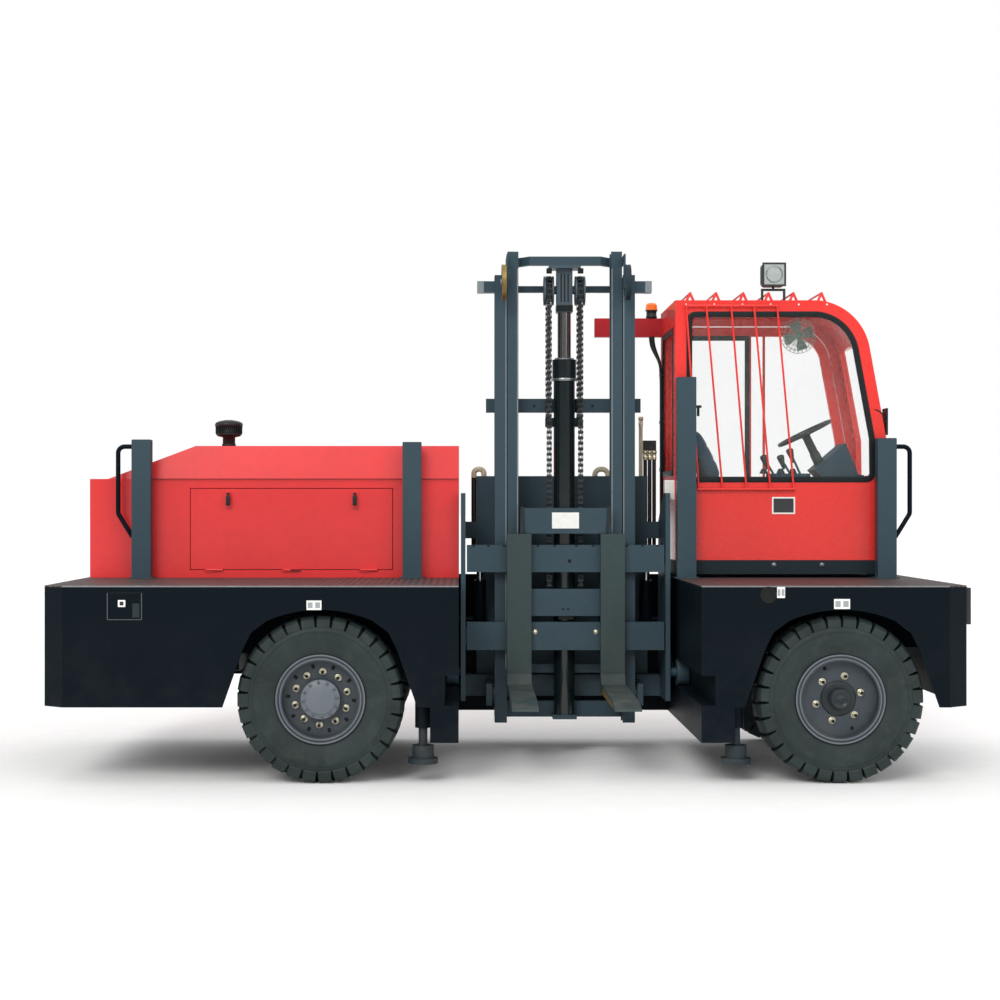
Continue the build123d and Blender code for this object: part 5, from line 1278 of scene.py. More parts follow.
def add_post_caps():
    """Cap plates on the load posts, and their feet on the deck."""
    form = bmesh.new()
    low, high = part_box("load_posts")
    for x0, x1, top in POST_TOPS:
        add_slab(form, (x0 + 0.003, low.y + 0.003, top), (x1 - 0.003, high.y - 0.003, top + 0.003),
                 0.001)
        add_slab(form, (x0 - 0.018, low.y - 0.018, low.z),
                 (x1 + 0.018, high.y + 0.018, low.z + 0.008), 0.002)
    form_piece("post_caps", form, "mast", "chassis")


class LOADER_OT_frame_details(bpy.types.Operator):
    """Adds the deck's painted edge highlight, locker, blank plates, bolts, end lamps and post caps
    """
    bl_idname = "loader.frame_details"
    bl_label = "Frame details"

    def execute(self, context):
        deck_low, deck_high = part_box("deck_plates")
        near = deck_low.y
        add_deck_edges(deck_low, deck_high)
        add_tool_panel(near)
        add_near_plates(near)
        add_sill_bolts()
        add_end_lamps()
        add_post_caps()
        return {"FINISHED"}


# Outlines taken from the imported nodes


def face_loops(node, axis, value, toward):
    """Closed outlines, as lists of points, of a node's flat face that lies at this value."""
    form = bmesh.new()
    form.from_mesh(NODES[node].data)
    bmesh.ops.remove_doubles(form, verts=form.verts, dist=1e-5)
    rim = {}
    for edge in form.edges:
        if len(edge.link_faces) != 2:
            continue
        if any(abs(vert.co[axis] - value) > 0.0006 for vert in edge.verts):
            continue
        flat = [face.normal[axis] * toward > 0.95 for face in edge.link_faces]
        if flat[0] != flat[1]:
            one, two = edge.verts
            rim.setdefault(one.index, []).append(two.index)
            rim.setdefault(two.index, []).append(one.index)
    form.verts.ensure_lookup_table()
    loops = []
    left = set(rim)
    while left:
        start = min(left)
        loop = [start]
        left.discard(start)
        here = start
        while True:
            onward = [other for other in rim[here] if other in left]
            if not onward:
                break
            here = onward[0]
            left.discard(here)
            loop.append(here)
        if len(loop) > 2:
            loops.append([form.verts[index].co.copy() for index in loop])
    form.free()
    loops.sort(key=lambda points: -sum((a - b).length for a, b in zip(points, points[1:])))
    return loops


def strip_mesh(name, loop, axis, width, low, high):
    """A flat rubber strip along a closed outline: width is inwards, low and high across."""
    form = bmesh.new()
    middle = sum(loop, Vector()) / len(loop)
    count = len(loop)
    normal = Vector([1.0 if i == axis else 0.0 for i in range(3)])
    rings = []
    for i in range(count):
        before = (loop[i] - loop[i - 1]).normalized()
        after = (loop[(i + 1) % count] - loop[i]).normalized()
        inward_one = normal.cross(before)
        inward_two = normal.cross(after)
        if inward_one.dot(middle - loop[i]) < 0:
            inward_one.negate()
        if inward_two.dot(middle - loop[i]) < 0:
            inward_two.negate()
        inward = inward_one + inward_two
        if inward.length < 1e-6:
            inward = inward_one
        inward.normalize()
        reach = width / max(0.5, inward.dot(inward_two))
        ring = []
        for share, height in ((-0.18, low), (-0.18, high * 0.6), (-0.02, high), (0.8, high),
                              (1.0, high * 0.6), (1.0, low)):
            point = loop[i] + inward * reach * share
            point[axis] += height
            ring.append(form.verts.new(point))
        rings.append(ring)
    for i in range(count):
        one = rings[i]
        two = rings[(i + 1) % count]
        for j in range(len(one)):
            k = (j + 1) % len(one)
            form.faces.new((one[j], one[k], two[k], two[j]))
    return close_bmesh(form, name, math.radians(40), recalc=True)


def seal_piece(name, loop, axis, width, low, high, body):
    """A window's or door's black rubber strip as a finished piece."""
    new_piece(name, strip_mesh(name, loop, axis, width, low, high), "gasket", body)


# Hood


def add_pre_cleaner():
    """The air pre-cleaner: a neck with a clamp, a slotted skirt and a domed lid."""
    low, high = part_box("air_precleaner")
    centre = (low + high) / 2
    radius = (high.x - low.x) / 2
    neck = radius * 0.45
    top = high.z - low.z
    bowl = top - 0.114
    form = bmesh.new()
    start = (centre.x, centre.y, low.z)
    add_turned(form, [(0, neck), (bowl - 0.010, neck), (bowl - 0.002, radius * 0.80),
                      (bowl + 0.010, radius * 0.93), (bowl + 0.018, radius * 0.93),
                      (bowl + 0.020, radius * 0.86), (bowl + 0.066, radius * 0.86),
                      (bowl + 0.068, radius), (bowl + 0.086, radius * 0.995),
                      (bowl + 0.096, radius * 0.93), (bowl + 0.106, radius * 0.70),
                      (top, radius * 0.3), (top, 0.0)], start, (0, 0, 1), 56, closed=False)
    add_turned(form, [(0.010, neck + 0.001), (0.012, neck + 0.005), (0.024, neck + 0.005),
                      (0.026, neck + 0.001)], start, (0, 0, 1), 40, closed=False)
    body = close_bmesh(form, "cleaner_body", math.radians(30))
    fin = bmesh.new()
    add_slab(fin, (radius * 0.80, -0.0022, bowl + 0.017), (radius * 0.965, 0.0022, bowl + 0.070),
             0.0008)
    rib = master("Cleaner rib", close_bmesh(fin, "Cleaner rib"))
    ribs = ring_of("cleaner_ribs", rib, "plastic", 40, 0.0, Vector(start), (0, 0, 0))
    drop(rib)
    piece = new_piece("slotted_precleaner", joined_mesh("slotted_precleaner", [body, ribs]),
                      "plastic", "chassis")
    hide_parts("air_precleaner")


class LOADER_OT_hood_details(bpy.types.Operator):
    """Adds latch grips, a seam as a dark line of painted shade, the door's seal and the slotted
    pre-cleaner to the hood
    """
    bl_idname = "loader.hood_details"
    bl_label = "Hood details"

    def execute(self, context):
        door_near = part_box("hood_door")[0].y
        shell_low, shell_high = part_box("hood_shell")
        near = shell_low.y
        grips = bmesh.new()
        for x in LATCH_XS:
            add_slab(grips, (x - 0.014, near - 0.030, LATCH_Z - 0.040),
                     (x + 0.014, near - 0.014, LATCH_Z + 0.030), 0.004)
            add_turned(grips, [(0.0, 0.011), (0.006, 0.011), (0.008, 0.008)],
                       (x, near - 0.014, LATCH_Z + 0.042), (0, -1, 0), 18)
        form_piece("hood_latch_grips", grips, "plastic", "hood_door", 40)
        cover_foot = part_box("hood_cover")[0].z
        # Seam as a dark strip: painted shade in the gap under the cover.
        seam = bmesh.new()
        add_slab(seam, (shell_low.x + 0.30, near - 0.0010, cover_foot - 0.0035),
                 (shell_high.x - 0.002, near + 0.001, cover_foot + 0.0015))
        form_piece("hood_seam", seam, "dark", "chassis")
        for loop in face_loops("hood_door", 1, door_near, -1)[:1]:
            seal_piece("hood_door_seal", loop, 1, -0.004, 0.001, -0.0004, "hood_door")
        add_pre_cleaner()
        return {"FINISHED"}


# Cab outside


def add_door_seals(width):
    """The far door's rubber: one in the wall behind the door's edge, one round its pane."""
    door_low, door_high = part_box("cab_door")
    wall_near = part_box("cab_far_side")[0].y
    wanted = (door_low + door_high) / 2
    reach = (door_high - door_low).length
    for loop in face_loops("cab_far_side", 1, wall_near, -1):
        low = Vector([min(point[i] for point in loop) for i in range(3)])
        high = Vector([max(point[i] for point in loop) for i in range(3)])
        middle = (low + high) / 2
        if abs(middle.x - wanted.x) + abs(middle.z - wanted.z) < 0.06 and abs(
                (high - low).length - reach) < 0.15:
            seal_piece("door_wall_seal", loop, 1, width * 0.7, 0.0005, -0.005, "chassis")
            break
    loops = face_loops("cab_door", 1, door_low.y, -1)
    if len(loops) > 1:
        seal_piece("door_inner_rubber", loops[1], 1, width * 0.9, 0.004, -0.004, "cab_door")


def add_rear_hoses(rear):
    """Three hoses clipped down the cab's rear wall, from the beacon's beam to the deck."""
    runs = []
    for i in range(3):
        y = REAR_HOSES["y"] + i * REAR_HOSES["step"]
        x = rear - 0.010
        runs.append([(x - 0.060 - i * 0.010, y, 2.984), (x - 0.058 - i * 0.010, y, 2.930),
                     (x - 0.040 - i * 0.006, y, 2.870), (x - 0.012, y, 2.800),
                     (x, y, 2.720), (x, y, 2.350), (x, y, 1.900), (x, y, 1.360)])
    new_piece("cab_rear_hoses", tube_mesh("cab_rear_hoses", runs, 0.0085, 8), "hose",
              "chassis")
    clips = bmesh.new()
    for z in REAR_HOSES["clips"]:
        add_slab(clips, (rear - 0.021, 0.992, z - 0.012), (rear + 0.0005, 1.076, z + 0.012), 0.004)
    form_piece("cab_hose_clips", clips, "plastic", "chassis")


def add_near_face(near):
    """The window's latch, the blank plate, the box behind the wall and the bolts."""
    latch = bmesh.new()
    x, z = photo_point(*WINDOW_LATCH, near)
    add_slab(latch, (x - 0.024, near - 0.012, z + 0.018), (x + 0.024, near - 0.002, z + 0.036),
             0.004)
    add_slab(latch, (x - 0.009, near - 0.016, z - 0.040), (x + 0.009, near - 0.002, z + 0.024),
             0.004)
    form_piece("window_latch", latch, "plastic", "chassis")
    x0, x1, z0, z1 = photo_box(*CAB_PLATE, near)
    slab_piece("cab_plate", (x0, near - 0.0014, z0), (x1, near + 0.001, z1), 0.0005,
               "plate_white", "chassis")
    slab_piece("cab_plate_field", (x0 + 0.010, near - 0.0020, z0 + 0.010),
               (x1 - 0.010, near - 0.0010, z1 - 0.010), 0.0004, "plate_dark", "chassis")
    x0, x1, z0, z1 = photo_box(*SOCKET_BOX, near)
    slab_piece("rear_socket_box", (x0, near + 0.020, z0),
               (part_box("cab_rear_wall")[0].x, near + 0.110, z1), 0.008, "plate_white",
               "chassis")
    bolt = master("Cab bolt", nut_mesh("Cab bolt", 0.020, 0.010, 0.005, 0.002, 1.7))
    spots = []
    for spot in CAB_BOLTS:
        x, z = photo_point(*spot, near)
        spots.append(((x, near, z), FACE_NEAR))
    new_piece("cab_bolts", on_spots("cab_bolts", bolt, "steel", spots), "steel", "chassis")
    drop(bolt)


def add_rivets(near, low, high):
    """A row of rivets along the roof's edge, in white as painted highlights."""
    form = bmesh.new()
    add_turned(form, [(0, 0.007), (0.002, 0.0066), (0.0038, 0.004), (0.0044, 0.0)], (0, 0, 0),
               (0, 0, 1), 12, closed=False)
    rivet = master("Rivet", close_bmesh(form, "Rivet", math.radians(60)))
    # White rivets: painted highlights.
    spots = [((low.x + 0.075 + i * 0.196, near, high.z - 0.030), FACE_NEAR) for i in range(6)]
    new_piece("cab_rivets", on_spots("cab_rivets", rivet, "plate_white", spots),
              "plate_white", "chassis")
    drop(rivet)


def add_mirror(near):
    """The mirror at the cab's front corner, seen edge-on, on its bent arm."""
    x, z0 = photo_point(*MIRROR_FOOT, near)
    x, z1 = photo_point(*MIRROR_TOP, near)
    form = bmesh.new()
    add_slab(form, (x - 0.008, near - 0.012, z0 + 0.02), (x + 0.006, near + 0.120, z1), 0.006)
    piece = close_bmesh(form, "cab_mirror")
    arm = tube_mesh("mirror_arm", [[(x - 0.095, near + 0.006, z1 - 0.012),
                                    (x - 0.030, near - 0.002, z1 - 0.010),
                                    (x - 0.004, near + 0.010, (z0 + z1) / 2)]], 0.006, 8)
    new_piece("cab_mirror", joined_mesh("cab_mirror", [piece, arm]), "plastic", "chassis")


class LOADER_OT_cab_details(bpy.types.Operator):
    """Adds window rubbers, door seals, rivets, bolts, plates, the mirror and hoses"""
    bl_idname = "loader.cab_details"
    bl_label = "Cab details"

    def execute(self, context):
        width = sizes().gasket_width
        low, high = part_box("cab_near_side")
        near = low.y
        loops = face_loops("cab_near_side", 1, near, -1)
        if len(loops) > 1:
            seal_piece("near_window_rubber", loops[1], 1, width, 0.012, -0.0045, "chassis")
        loops = face_loops("cab_door", 1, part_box("cab_door")[1].y, 1)
        if len(loops) > 1:
            seal_piece("door_window_rubber", loops[1], 1, width, -0.012, 0.0045, "cab_door")
        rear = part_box("cab_rear_wall")[0].x
        loops = face_loops("cab_rear_wall", 0, rear, -1)
        if len(loops) > 1:
            seal_piece("rear_window_rubber", loops[1], 0, width, 0.010, -0.0045, "chassis")
        add_door_seals(width)
        add_near_face(near)
        add_rivets(near, low, high)
        add_mirror(near)
        add_rear_hoses(rear)
        return {"FINISHED"}


# Cab inside


def cushion_mesh(name, half, crown, turn, centre, grooves, cuts=22):
    """A padded block: rounded edges, a crowned face, sewn grooves and a piping line."""
    form = bmesh.new()
    bmesh.ops.create_cube(form, size=2.0)
    bmesh.ops.subdivide_edges(form, edges=form.edges, cuts=cuts, use_grid_fill=True)
    hx, hy, hz = half
    for vert in form.verts:
        u = vert.co.copy()
        biggest = max(abs(value) for value in u)
        norm = sum(abs(value) ** 5 for value in u) ** 0.2
        u *= biggest / norm
        rise = (1 - u.x ** 2) * (1 - u.y ** 2)
        z = u.z * hz
        if u.z > 0:
            z += crown * rise * u.z
            for where in grooves:
                z -= 0.007 * math.exp(-((u.x - where) * hx / 0.008) ** 2) * u.z
        bulge = 1 + 0.03 * math.cos(u.z * math.pi / 2)
        vert.co = Vector((u.x * hx * bulge, u.y * hy * bulge, z))
    for vert in form.verts:
        vert.co = Vector(centre) + turn @ vert.co
    return close_bmesh(form, name, math.pi)


def add_seat():
    """Cushion and backrest on a plinth with its slide."""
    low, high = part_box("driver_seat")
    y = (low.y + high.y) / 2
    half_w = (high.y - low.y) / 2 - 0.012
    x, z = SEAT["cushion"]
    mesh = cushion_mesh("seat_cushion", (0.205, half_w, 0.052), 0.010,
                        Euler((0, SEAT["turn"], 0)).to_matrix(), (x, y, z), (-0.45, 0.35))
    cushion = new_piece("seat_cushion", mesh, "seat", "chassis")
    x, z = SEAT["back"]
    mesh = cushion_mesh("seat_back", (0.185, half_w, 0.058), 0.012,
                        Euler((0, math.radians(90) - SEAT["lean"], 0)).to_matrix(), (x, y, z),
                        (-0.3, 0.3))
    back = new_piece("seat_back", mesh, "seat", "chassis")
    form = bmesh.new()
    add_slab(form, (1.480, y - 0.175, low.z), (1.848, y + 0.175, 1.800), 0.012)
    add_slab(form, (1.470, y - 0.200, 1.802), (1.850, y + 0.200, 1.830), 0.010)
    add_slab(form, (1.385, y - 0.030, 1.83), (1.480, y + 0.030, 1.90), 0.010)
    add_slab(form, (1.360, y - 0.180, 1.96), (1.395, y + 0.180, 2.20), 0.014,
             ((1.38, y, 1.96), Euler((0, -0.40, 0)).to_matrix()))
    plinth = form_piece("seat_plinth", form, "plastic", "chassis")
    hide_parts("driver_seat")


def add_steering():
    """The rim, three spokes, the hub and the column."""
    hub = Vector(STEERING["centre"])
    tilt = Euler((0, -STEERING["tilt"], 0)).to_matrix()
    axis = tilt @ Vector((0, 0, 1))
    radius = STEERING["radius"]
    tube = STEERING["tube"]
    form = bmesh.new()
    steps = 16
    ring = [(math.sin(2 * math.pi * i / steps) * tube,
             radius - tube + math.cos(2 * math.pi * i / steps) * tube)
            for i in range(steps + 1)]
    add_turned(form, ring, hub, axis, 64, closed=False)
    bmesh.ops.remove_doubles(form, verts=form.verts, dist=1e-5)
    add_turned(form, [(-0.030, 0.032), (-0.004, 0.042), (0.006, 0.040), (0.010, 0.030),
                      (0.011, 0.0)], hub, axis, 28, closed=False)
    rim = close_bmesh(form, "steering_rim", math.radians(50))
    spokes = []
    for i in range(3):
        angle = 2 * math.pi * i / 3 + 0.5
        out = Vector((math.cos(angle), math.sin(angle), 0))
        spokes.append([tuple(hub + tilt @ (out * 0.030 - Vector((0, 0, 0.006)))),
                       tuple(hub + tilt @ (out * radius * 0.5 - Vector((0, 0, 0.014)))),
                       tuple(hub + tilt @ (out * (radius - tube)))])
    bars = tube_mesh("steering_spokes", spokes, 0.008, 8)
    column = bmesh.new()
    length = 0.250
    add_turned(column, [(0.0, 0.030), (length * 0.55, 0.031), (length * 0.56, 0.036),
                        (length, 0.038)], hub - axis * 0.020, tuple(-axis), 24)
    lower = close_bmesh(column, "steering_column", math.radians(40))
    piece = new_piece("steering_wheel_set",
                      joined_mesh("steering_wheel_set", [rim, bars, lower]), "plastic",
                      "chassis")
    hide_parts("steering_wheel")


def add_levers():
    """Round knobs on the three levers, and rubber boots under them."""
    knobs = bmesh.new()
    boots = bmesh.new()
    box_top = 1.960
    for x, z in LEVER_KNOBS:
        add_turned(knobs, [(-0.085, 0.008), (-0.070, 0.011), (-0.020, 0.022), (0.004, 0.027),
                           (0.014, 0.024), (0.021, 0.012), (0.022, 0.0)], (x, LEVER_Y, z),
                   (-0.28, 0, 0.96), 20, closed=False)
        foot = x + (0.02 if z > 2.1 else 0.0)
        add_turned(boots, [(0.0, 0.030), (0.006, 0.031), (0.012, 0.024), (0.018, 0.026),
                           (0.024, 0.019), (0.030, 0.020), (0.036, 0.012)],
                   (foot, LEVER_Y, box_top), (0, 0, 1), 20, closed=False)
    form_piece("lever_knobs", knobs, "plastic", "chassis", 60)
    form_piece("lever_boots", boots, "gasket", "chassis", 60)


def add_fan():
    """A wire-caged fan on its stem from the roof."""
    low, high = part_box("cab_fan")
    x = (low.x + high.x) / 2
    z = FAN["z"]
    y = FAN["y"]
    radius = FAN["radius"]
    depth = FAN["depth"] / 2
    wires = []
    for side in (-1, 1):
        for share, out in ((1.0, 0.15), (0.82, 0.75), (0.55, 0.95), (0.25, 1.0)):
            circle = [(x + math.cos(a) * radius * share, y + side * depth * out,
                       z + math.sin(a) * radius * share)
                      for a in (2 * math.pi * i / 36 for i in range(37))]
            wires.append(circle)
        for i in range(24):
            a = 2 * math.pi * i / 24
            wires.append([(x + math.cos(a) * radius * share, y + side * depth * out,
                           z + math.sin(a) * radius * share)
                          for share, out in ((0.20, 1.0), (0.55, 0.95), (0.82, 0.75),
                                             (1.0, 0.15))])
    cage = tube_mesh("fan_cage", wires, 0.0016, 4, smooth=False)
    stem = tube_mesh("fan_stem", [[(x, y + depth * 0.4, z), (x, y + depth + 0.016, z + 0.02),
                                   (x, y + depth + 0.012, z + 0.11),
                                   (x, y + 0.02, high.z - 0.001)]], 0.007, 8)
    piece = new_piece("caged_fan", joined_mesh("caged_fan", [cage, stem]), "fan_wire",
                      "chassis")
    form = bmesh.new()
    add_turned(form, [(-0.020, 0.0), (-0.018, 0.018), (0.020, 0.026), (0.028, 0.020),
                      (0.030, 0.0)], (x, y, z), (0, 1, 0), 24, closed=False)
    for i in range(4):
        a = math.pi / 2 * i + 0.3
        along = Vector((math.cos(a), 0, math.sin(a)))
        side = Vector((-math.sin(a), 0, math.cos(a)))
        hub = Vector((x, y - 0.006, z))
        verts = []
        for reach, wide, lift in ((0.018, 0.014, 0.006), (0.060, 0.036, 0.012),
                                  (0.104, 0.040, 0.009)):
            for s in (-1, 1):
                for thick in (-0.0008, 0.0008):
                    verts.append(form.verts.new(hub + along * reach + side * wide * s
                                                + Vector((0, s * lift + thick, 0))))
        for k in (0, 4):
            a0, a1, b0, b1 = verts[k:k + 4]
            c0, c1, d0, d1 = verts[k + 4:k + 8]
            for quad in ((a0, b0, d0, c0), (a1, c1, d1, b1), (a0, c0, c1, a1), (b0, b1, d1, d0)):
                form.faces.new(quad)
        form.faces.new((verts[0], verts[1], verts[3], verts[2]))
        form.faces.new((verts[8], verts[10], verts[11], verts[9]))
    bmesh.ops.recalc_face_normals(form, faces=form.faces)
    form_piece("fan_blades", form, "fan_blade", "chassis", 30)
    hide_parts("cab_fan")


class LOADER_OT_cab_inside(bpy.types.Operator):
    """Adds the padded seat, steering wheel, lever knobs and fan"""
    bl_idname = "loader.cab_inside"
    bl_label = "Cab inside"

    def execute(self, context):
        add_seat()
        add_steering()
        add_levers()
        add_fan()
        return {"FINISHED"}


# Lamps and beacon


class LOADER_OT_lamps(bpy.types.Operator):
    """Adds the work lamp's lens and reflector and the ribbed beacon"""
    bl_idname = "loader.lamps"
    bl_label = "Lamps"

    def execute(self, context):
        form = bmesh.new()
        x, z, half = WORK_LAMP["x"], WORK_LAMP["z"], WORK_LAMP["half"]
        near = WORK_LAMP["near"]
        add_slab(form, (x - half + 0.012, near - 0.004, z - half + 0.012),
                 (x + half - 0.012, near + 0.002, z + half - 0.012), 0.004)
        form_piece("work_lamp_lens", form, "lamp_glass", "chassis")
        rim = bmesh.new()
        for a, b in (((-1, -1), (1, -0.84)), ((-1, 0.84), (1, 1)), ((-1, -0.84), (-0.84, 0.84)),
                     ((0.84, -0.84), (1, 0.84))):
            add_slab(rim, (x + a[0] * half, near - 0.006, z + a[1] * half),
                     (x + b[0] * half, near + 0.003, z + b[1] * half), 0.0025)
        form_piece("work_lamp_rim", rim, "lamp_housing", "chassis")
        dish = bmesh.new()
        add_turned(dish, [(0.0, half * 0.74), (-0.0006, half * 0.60), (-0.0008, half * 0.30),
                          (-0.0009, 0.0)], (x, near - 0.0046, z), (0, -1, 0), 40, closed=False)
        form_piece("work_lamp_reflector", dish, "reflector", "chassis", 40)
        low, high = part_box("beacon")
        centre = (low + high) / 2
        radius = (high.x - low.x) / 2
        top = high.z - low.z
        base = bmesh.new()
        add_turned(base, [(0, radius * 0.9), (0.020, radius * 0.9), (0.022, radius * 0.82),
                          (0.050, radius * 0.84), (0.056, radius * 0.98), (0.062, radius)],
                   (centre.x, centre.y, low.z), (0, 0, 1), 40)
        form_piece("beacon_base", base, "plastic", "chassis", 35)
        lens = bmesh.new()
        steps = [(0.060, radius * 0.97)]
        rows = 9
        for i in range(rows):
            z0 = 0.062 + i * (top - 0.078) / rows
            z1 = z0 + (top - 0.078) / rows
            steps += [(z0, radius * (1.0 - 0.012 * i)), (z1 - 0.001, radius * (0.965 - 0.012 * i))]
        steps += [(top - 0.010, radius * 0.80), (top - 0.003, radius * 0.55), (top, 0.0)]
        add_turned(lens, steps, (centre.x, centre.y, low.z), (0, 0, 1), 48, closed=False)
        piece = form_piece("beacon_lens", lens, "amber", "chassis", 30)
        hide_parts("beacon")
        return {"FINISHED"}


# Mast, carriage and forks


def across(s, inner, outer):
    """Two places on one side of the mast's middle, as X in rising order."""
    return sorted((MAST["x"] + s * inner, MAST["x"] + s * outer))


def add_hose_ends():
    """Swaged ferrules and nuts where the hoses meet the pipes."""
    form = bmesh.new()
    for x, y, z, up in HOSE_ENDS:
        add_turned(form, [(0.0, 0.0165), (0.040, 0.0170), (0.044, 0.0150)],
                   (x, y, z), (0, 0, up), 18)
        add_turned(form, [(-0.022, 0.0190), (-0.002, 0.0190)], (x, y, z), (0, 0, up), 6)
    form_piece("hose_ferrules", form, "zinc", "traverse", 35)


def add_top_box():
    """The blank name plate and the dark angled brackets on the carriage's top box."""
    near = MAST["box_near"]
    x0, x1, z0, z1 = photo_box(*CARRIAGE_PLATE, near)
    slab_piece("carriage_plate", (x0, near - 0.002, z0), (x1, near + 0.001, z1), 0.0006,
               "plate_white", "fork_carriage")
    form = bmesh.new()
    for s in (-1, 1):
        edge = MAST["x"] + s * MAST["box_half"]
        z_low, z_high = MAST["box_z"]
        outline = [(edge, z_high + 0.010), (edge - s * 0.022, z_high + 0.010),
                   (edge - s * 0.030, z_low + 0.006), (edge - s * 0.012, z_low + 0.006)]
        if s > 0:
            outline.reverse()
        add_prism(form, outline, "Y", near - 0.009, near + 0.001)
    form_piece("carriage_brackets", form, "rim_dark", "fork_carriage", recalc=True)


def add_carriage_bolts():
    """Bolts on the lower bar; the plate's holes and slit and the bar's notches as dark painted
    shade.
    """
    near = MAST["bar_near"]
    bolt = master("Carriage bolt", nut_mesh("Carriage bolt", 0.026, 0.014, 0.007, 0.003))
    spots = []
    for spot in CARRIAGE_BOLTS:
        x, z = photo_point(*spot, near)
        spots.append(((x, near, z), FACE_NEAR))
    new_piece("carriage_bolts", on_spots("carriage_bolts", bolt, "zinc", spots), "zinc",
              "fork_carriage")
    drop(bolt)
    # Holes, slit and notches as dark pieces: painted shade.
    dark = bmesh.new()
    x, z = photo_point(*CARRIAGE_HOLE, near)
    add_turned(dark, [(0, 0.013), (0.0016, 0.013)], (x, near, z), (0, -1, 0), 20)
    plate_near = MAST["plate_near"]
    for spot in PLATE_HOLES:
        x, z = photo_point(*spot, plate_near)
        add_turned(dark, [(0, 0.008), (0.0014, 0.008)], (x, plate_near, z), (0, -1, 0), 16)
    x, z = photo_point(*PLATE_SLIT, plate_near)
    add_slab(dark, (x - 0.052, plate_near - 0.0012, z - 0.010),
             (x + 0.052, plate_near + 0.001, z + 0.010), 0.0004)
    for s in (-1, 1):
        for share in (0.11, 0.28, 0.62, 0.78, 0.93):
            x = MAST["x"] + s * MAST["bar_half"] * share
            add_slab(dark, (x - 0.009, near - 0.0008, 1.450), (x + 0.009, near + 0.001, 1.4615))
    form_piece("carriage_recesses", dark, "dark", "fork_carriage")


def add_fork_wear():
    """The rubbed edge along one fork's side."""
    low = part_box("forks")[0]
    form = bmesh.new()
    side = MAST["x"] + 0.238
    outline = [(-0.080, low.z + 0.004), (-0.160, low.z + 0.052), (-0.700, low.z + 0.030),
               (-1.020, low.z + 0.010), (-1.020, low.z + 0.002)]
    add_prism(form, outline, "X", side - 0.0008, side + 0.001)
    form_piece("fork_rubbed_edge", form, "brass", "fork_carriage", recalc=True)


def add_rail_marks():
    """Bright lines on the rails' flanges, the stubs' ends in light grey as a painted highlight, and
    the holes in the tie as dark discs of painted shade.
    """
    steel = bmesh.new()
    for s in (-1, 1):
        a, b = across(s, 0.4065, 0.4125)
        add_slab(steel, (a, 0.200 - 0.0006, 0.60), (b, 0.200 + 0.001, 3.32))
    form_piece("outer_rail_wear", steel, "steel", "outer_mast")
    steel = bmesh.new()
    for s in (-1, 1):
        a, b = across(s, 0.3245, 0.332)
        add_slab(steel, (a, 0.204 - 0.0006, 0.70), (b, 0.205, 3.38))
    form_piece("inner_rail_wear", steel, "steel", "inner_mast")
    # Light grey boxes on the stubs' ends: painted highlight.
    ends = bmesh.new()
    for s in (-1, 1):
        a, b = across(s, 0.562, 0.6082)
        add_slab(ends, (a, 0.2398, 3.2178), (b, 0.3202, 3.2982), 0.0008)
    form_piece("stub_end_caps", ends, "stub_highlight_grey", "outer_mast")
    # Holes in the tie as dark discs: painted shade.
    dots = bmesh.new()
    for s in (-1, 1):
        add_turned(dots, [(0, 0.009), (0.0014, 0.009)], (MAST["x"] + s * 0.205, 0.392, 2.436),
                   (0, -1, 0), 16)
    form_piece("tie_holes", dots, "dark", "outer_mast")


def add_cylinder():
    """The lift cylinder's rings, the crosshead's slits as dark painted shade, and the collar above
    it.
    """
    form = bmesh.new()
    centre = (MAST["x"], MAST["lift_y"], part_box("lift_barrel")[1].z)
    add_turned(form, [(-0.150, 0.0835), (-0.148, 0.085), (-0.132, 0.085), (-0.130, 0.0835)],
               centre, (0, 0, 1), 48, closed=False)
    add_turned(form, [(-0.002, 0.070), (0.012, 0.066), (0.014, 0.0475), (0.010, 0.0465)],
               centre, (0, 0, 1), 48, closed=False)
    form_piece("gland_rings", form, "steel", "outer_mast", 40)
    # Slits and slots in the crosshead as dark pieces: painted shade.
    slits = bmesh.new()
    for out in (-0.024, 0.0, 0.024):
        x = MAST["x"] + out
        add_slab(slits, (x - 0.0045, 0.2242, 3.150), (x + 0.0045, 0.2260, 3.345), 0.0004)
    for s in (-1, 1):
        a, b = across(s, 0.090, 0.128)
        add_slab(slits, (a, 0.172, 3.345), (b, 0.212, 3.3795), 0.004)
    form_piece("crosshead_slits", slits, "dark", "inner_mast")
    slab_piece("crosshead_collar", (MAST["x"] - 0.058, 0.222, 3.0805),
               (MAST["x"] + 0.058, 0.338, 3.132), 0.005, "barrel", "inner_mast")


def add_pulleys():
    """Pin ends and rims of the two hose pulleys."""
    form = bmesh.new()
    for s in (-1, 1):
        start = MAST["x"] + s * 0.442
        add_turned(form, [(0.0, 0.022), (0.006, 0.022), (0.008, 0.018), (0.009, 0.0)],
                   (start, MAST["pulley_y"], MAST["pulley_z"]), (s, 0, 0), 24, closed=False)
    form_piece("pulley_pins", form, "steel", "inner_mast", 40)
    for s, finish, name in ((-1, "brass", "hose_pulley_rear"), (1, "foot", "hose_pulley_front")):
        rim = bmesh.new()
        start = (MAST["x"] + s * 0.4085, MAST["pulley_y"], MAST["pulley_z"])
        add_turned(rim, [(0.0, 0.119), (0.001, 0.1225), (0.006, 0.1225), (0.011, 0.1208),
                         (0.022, 0.1208), (0.027, 0.1225), (0.0325, 0.1225),
                         (0.0330, 0.119)], start, (s, 0, 0), 56, closed=False)
        form_piece(name, rim, finish, "inner_mast", 40)


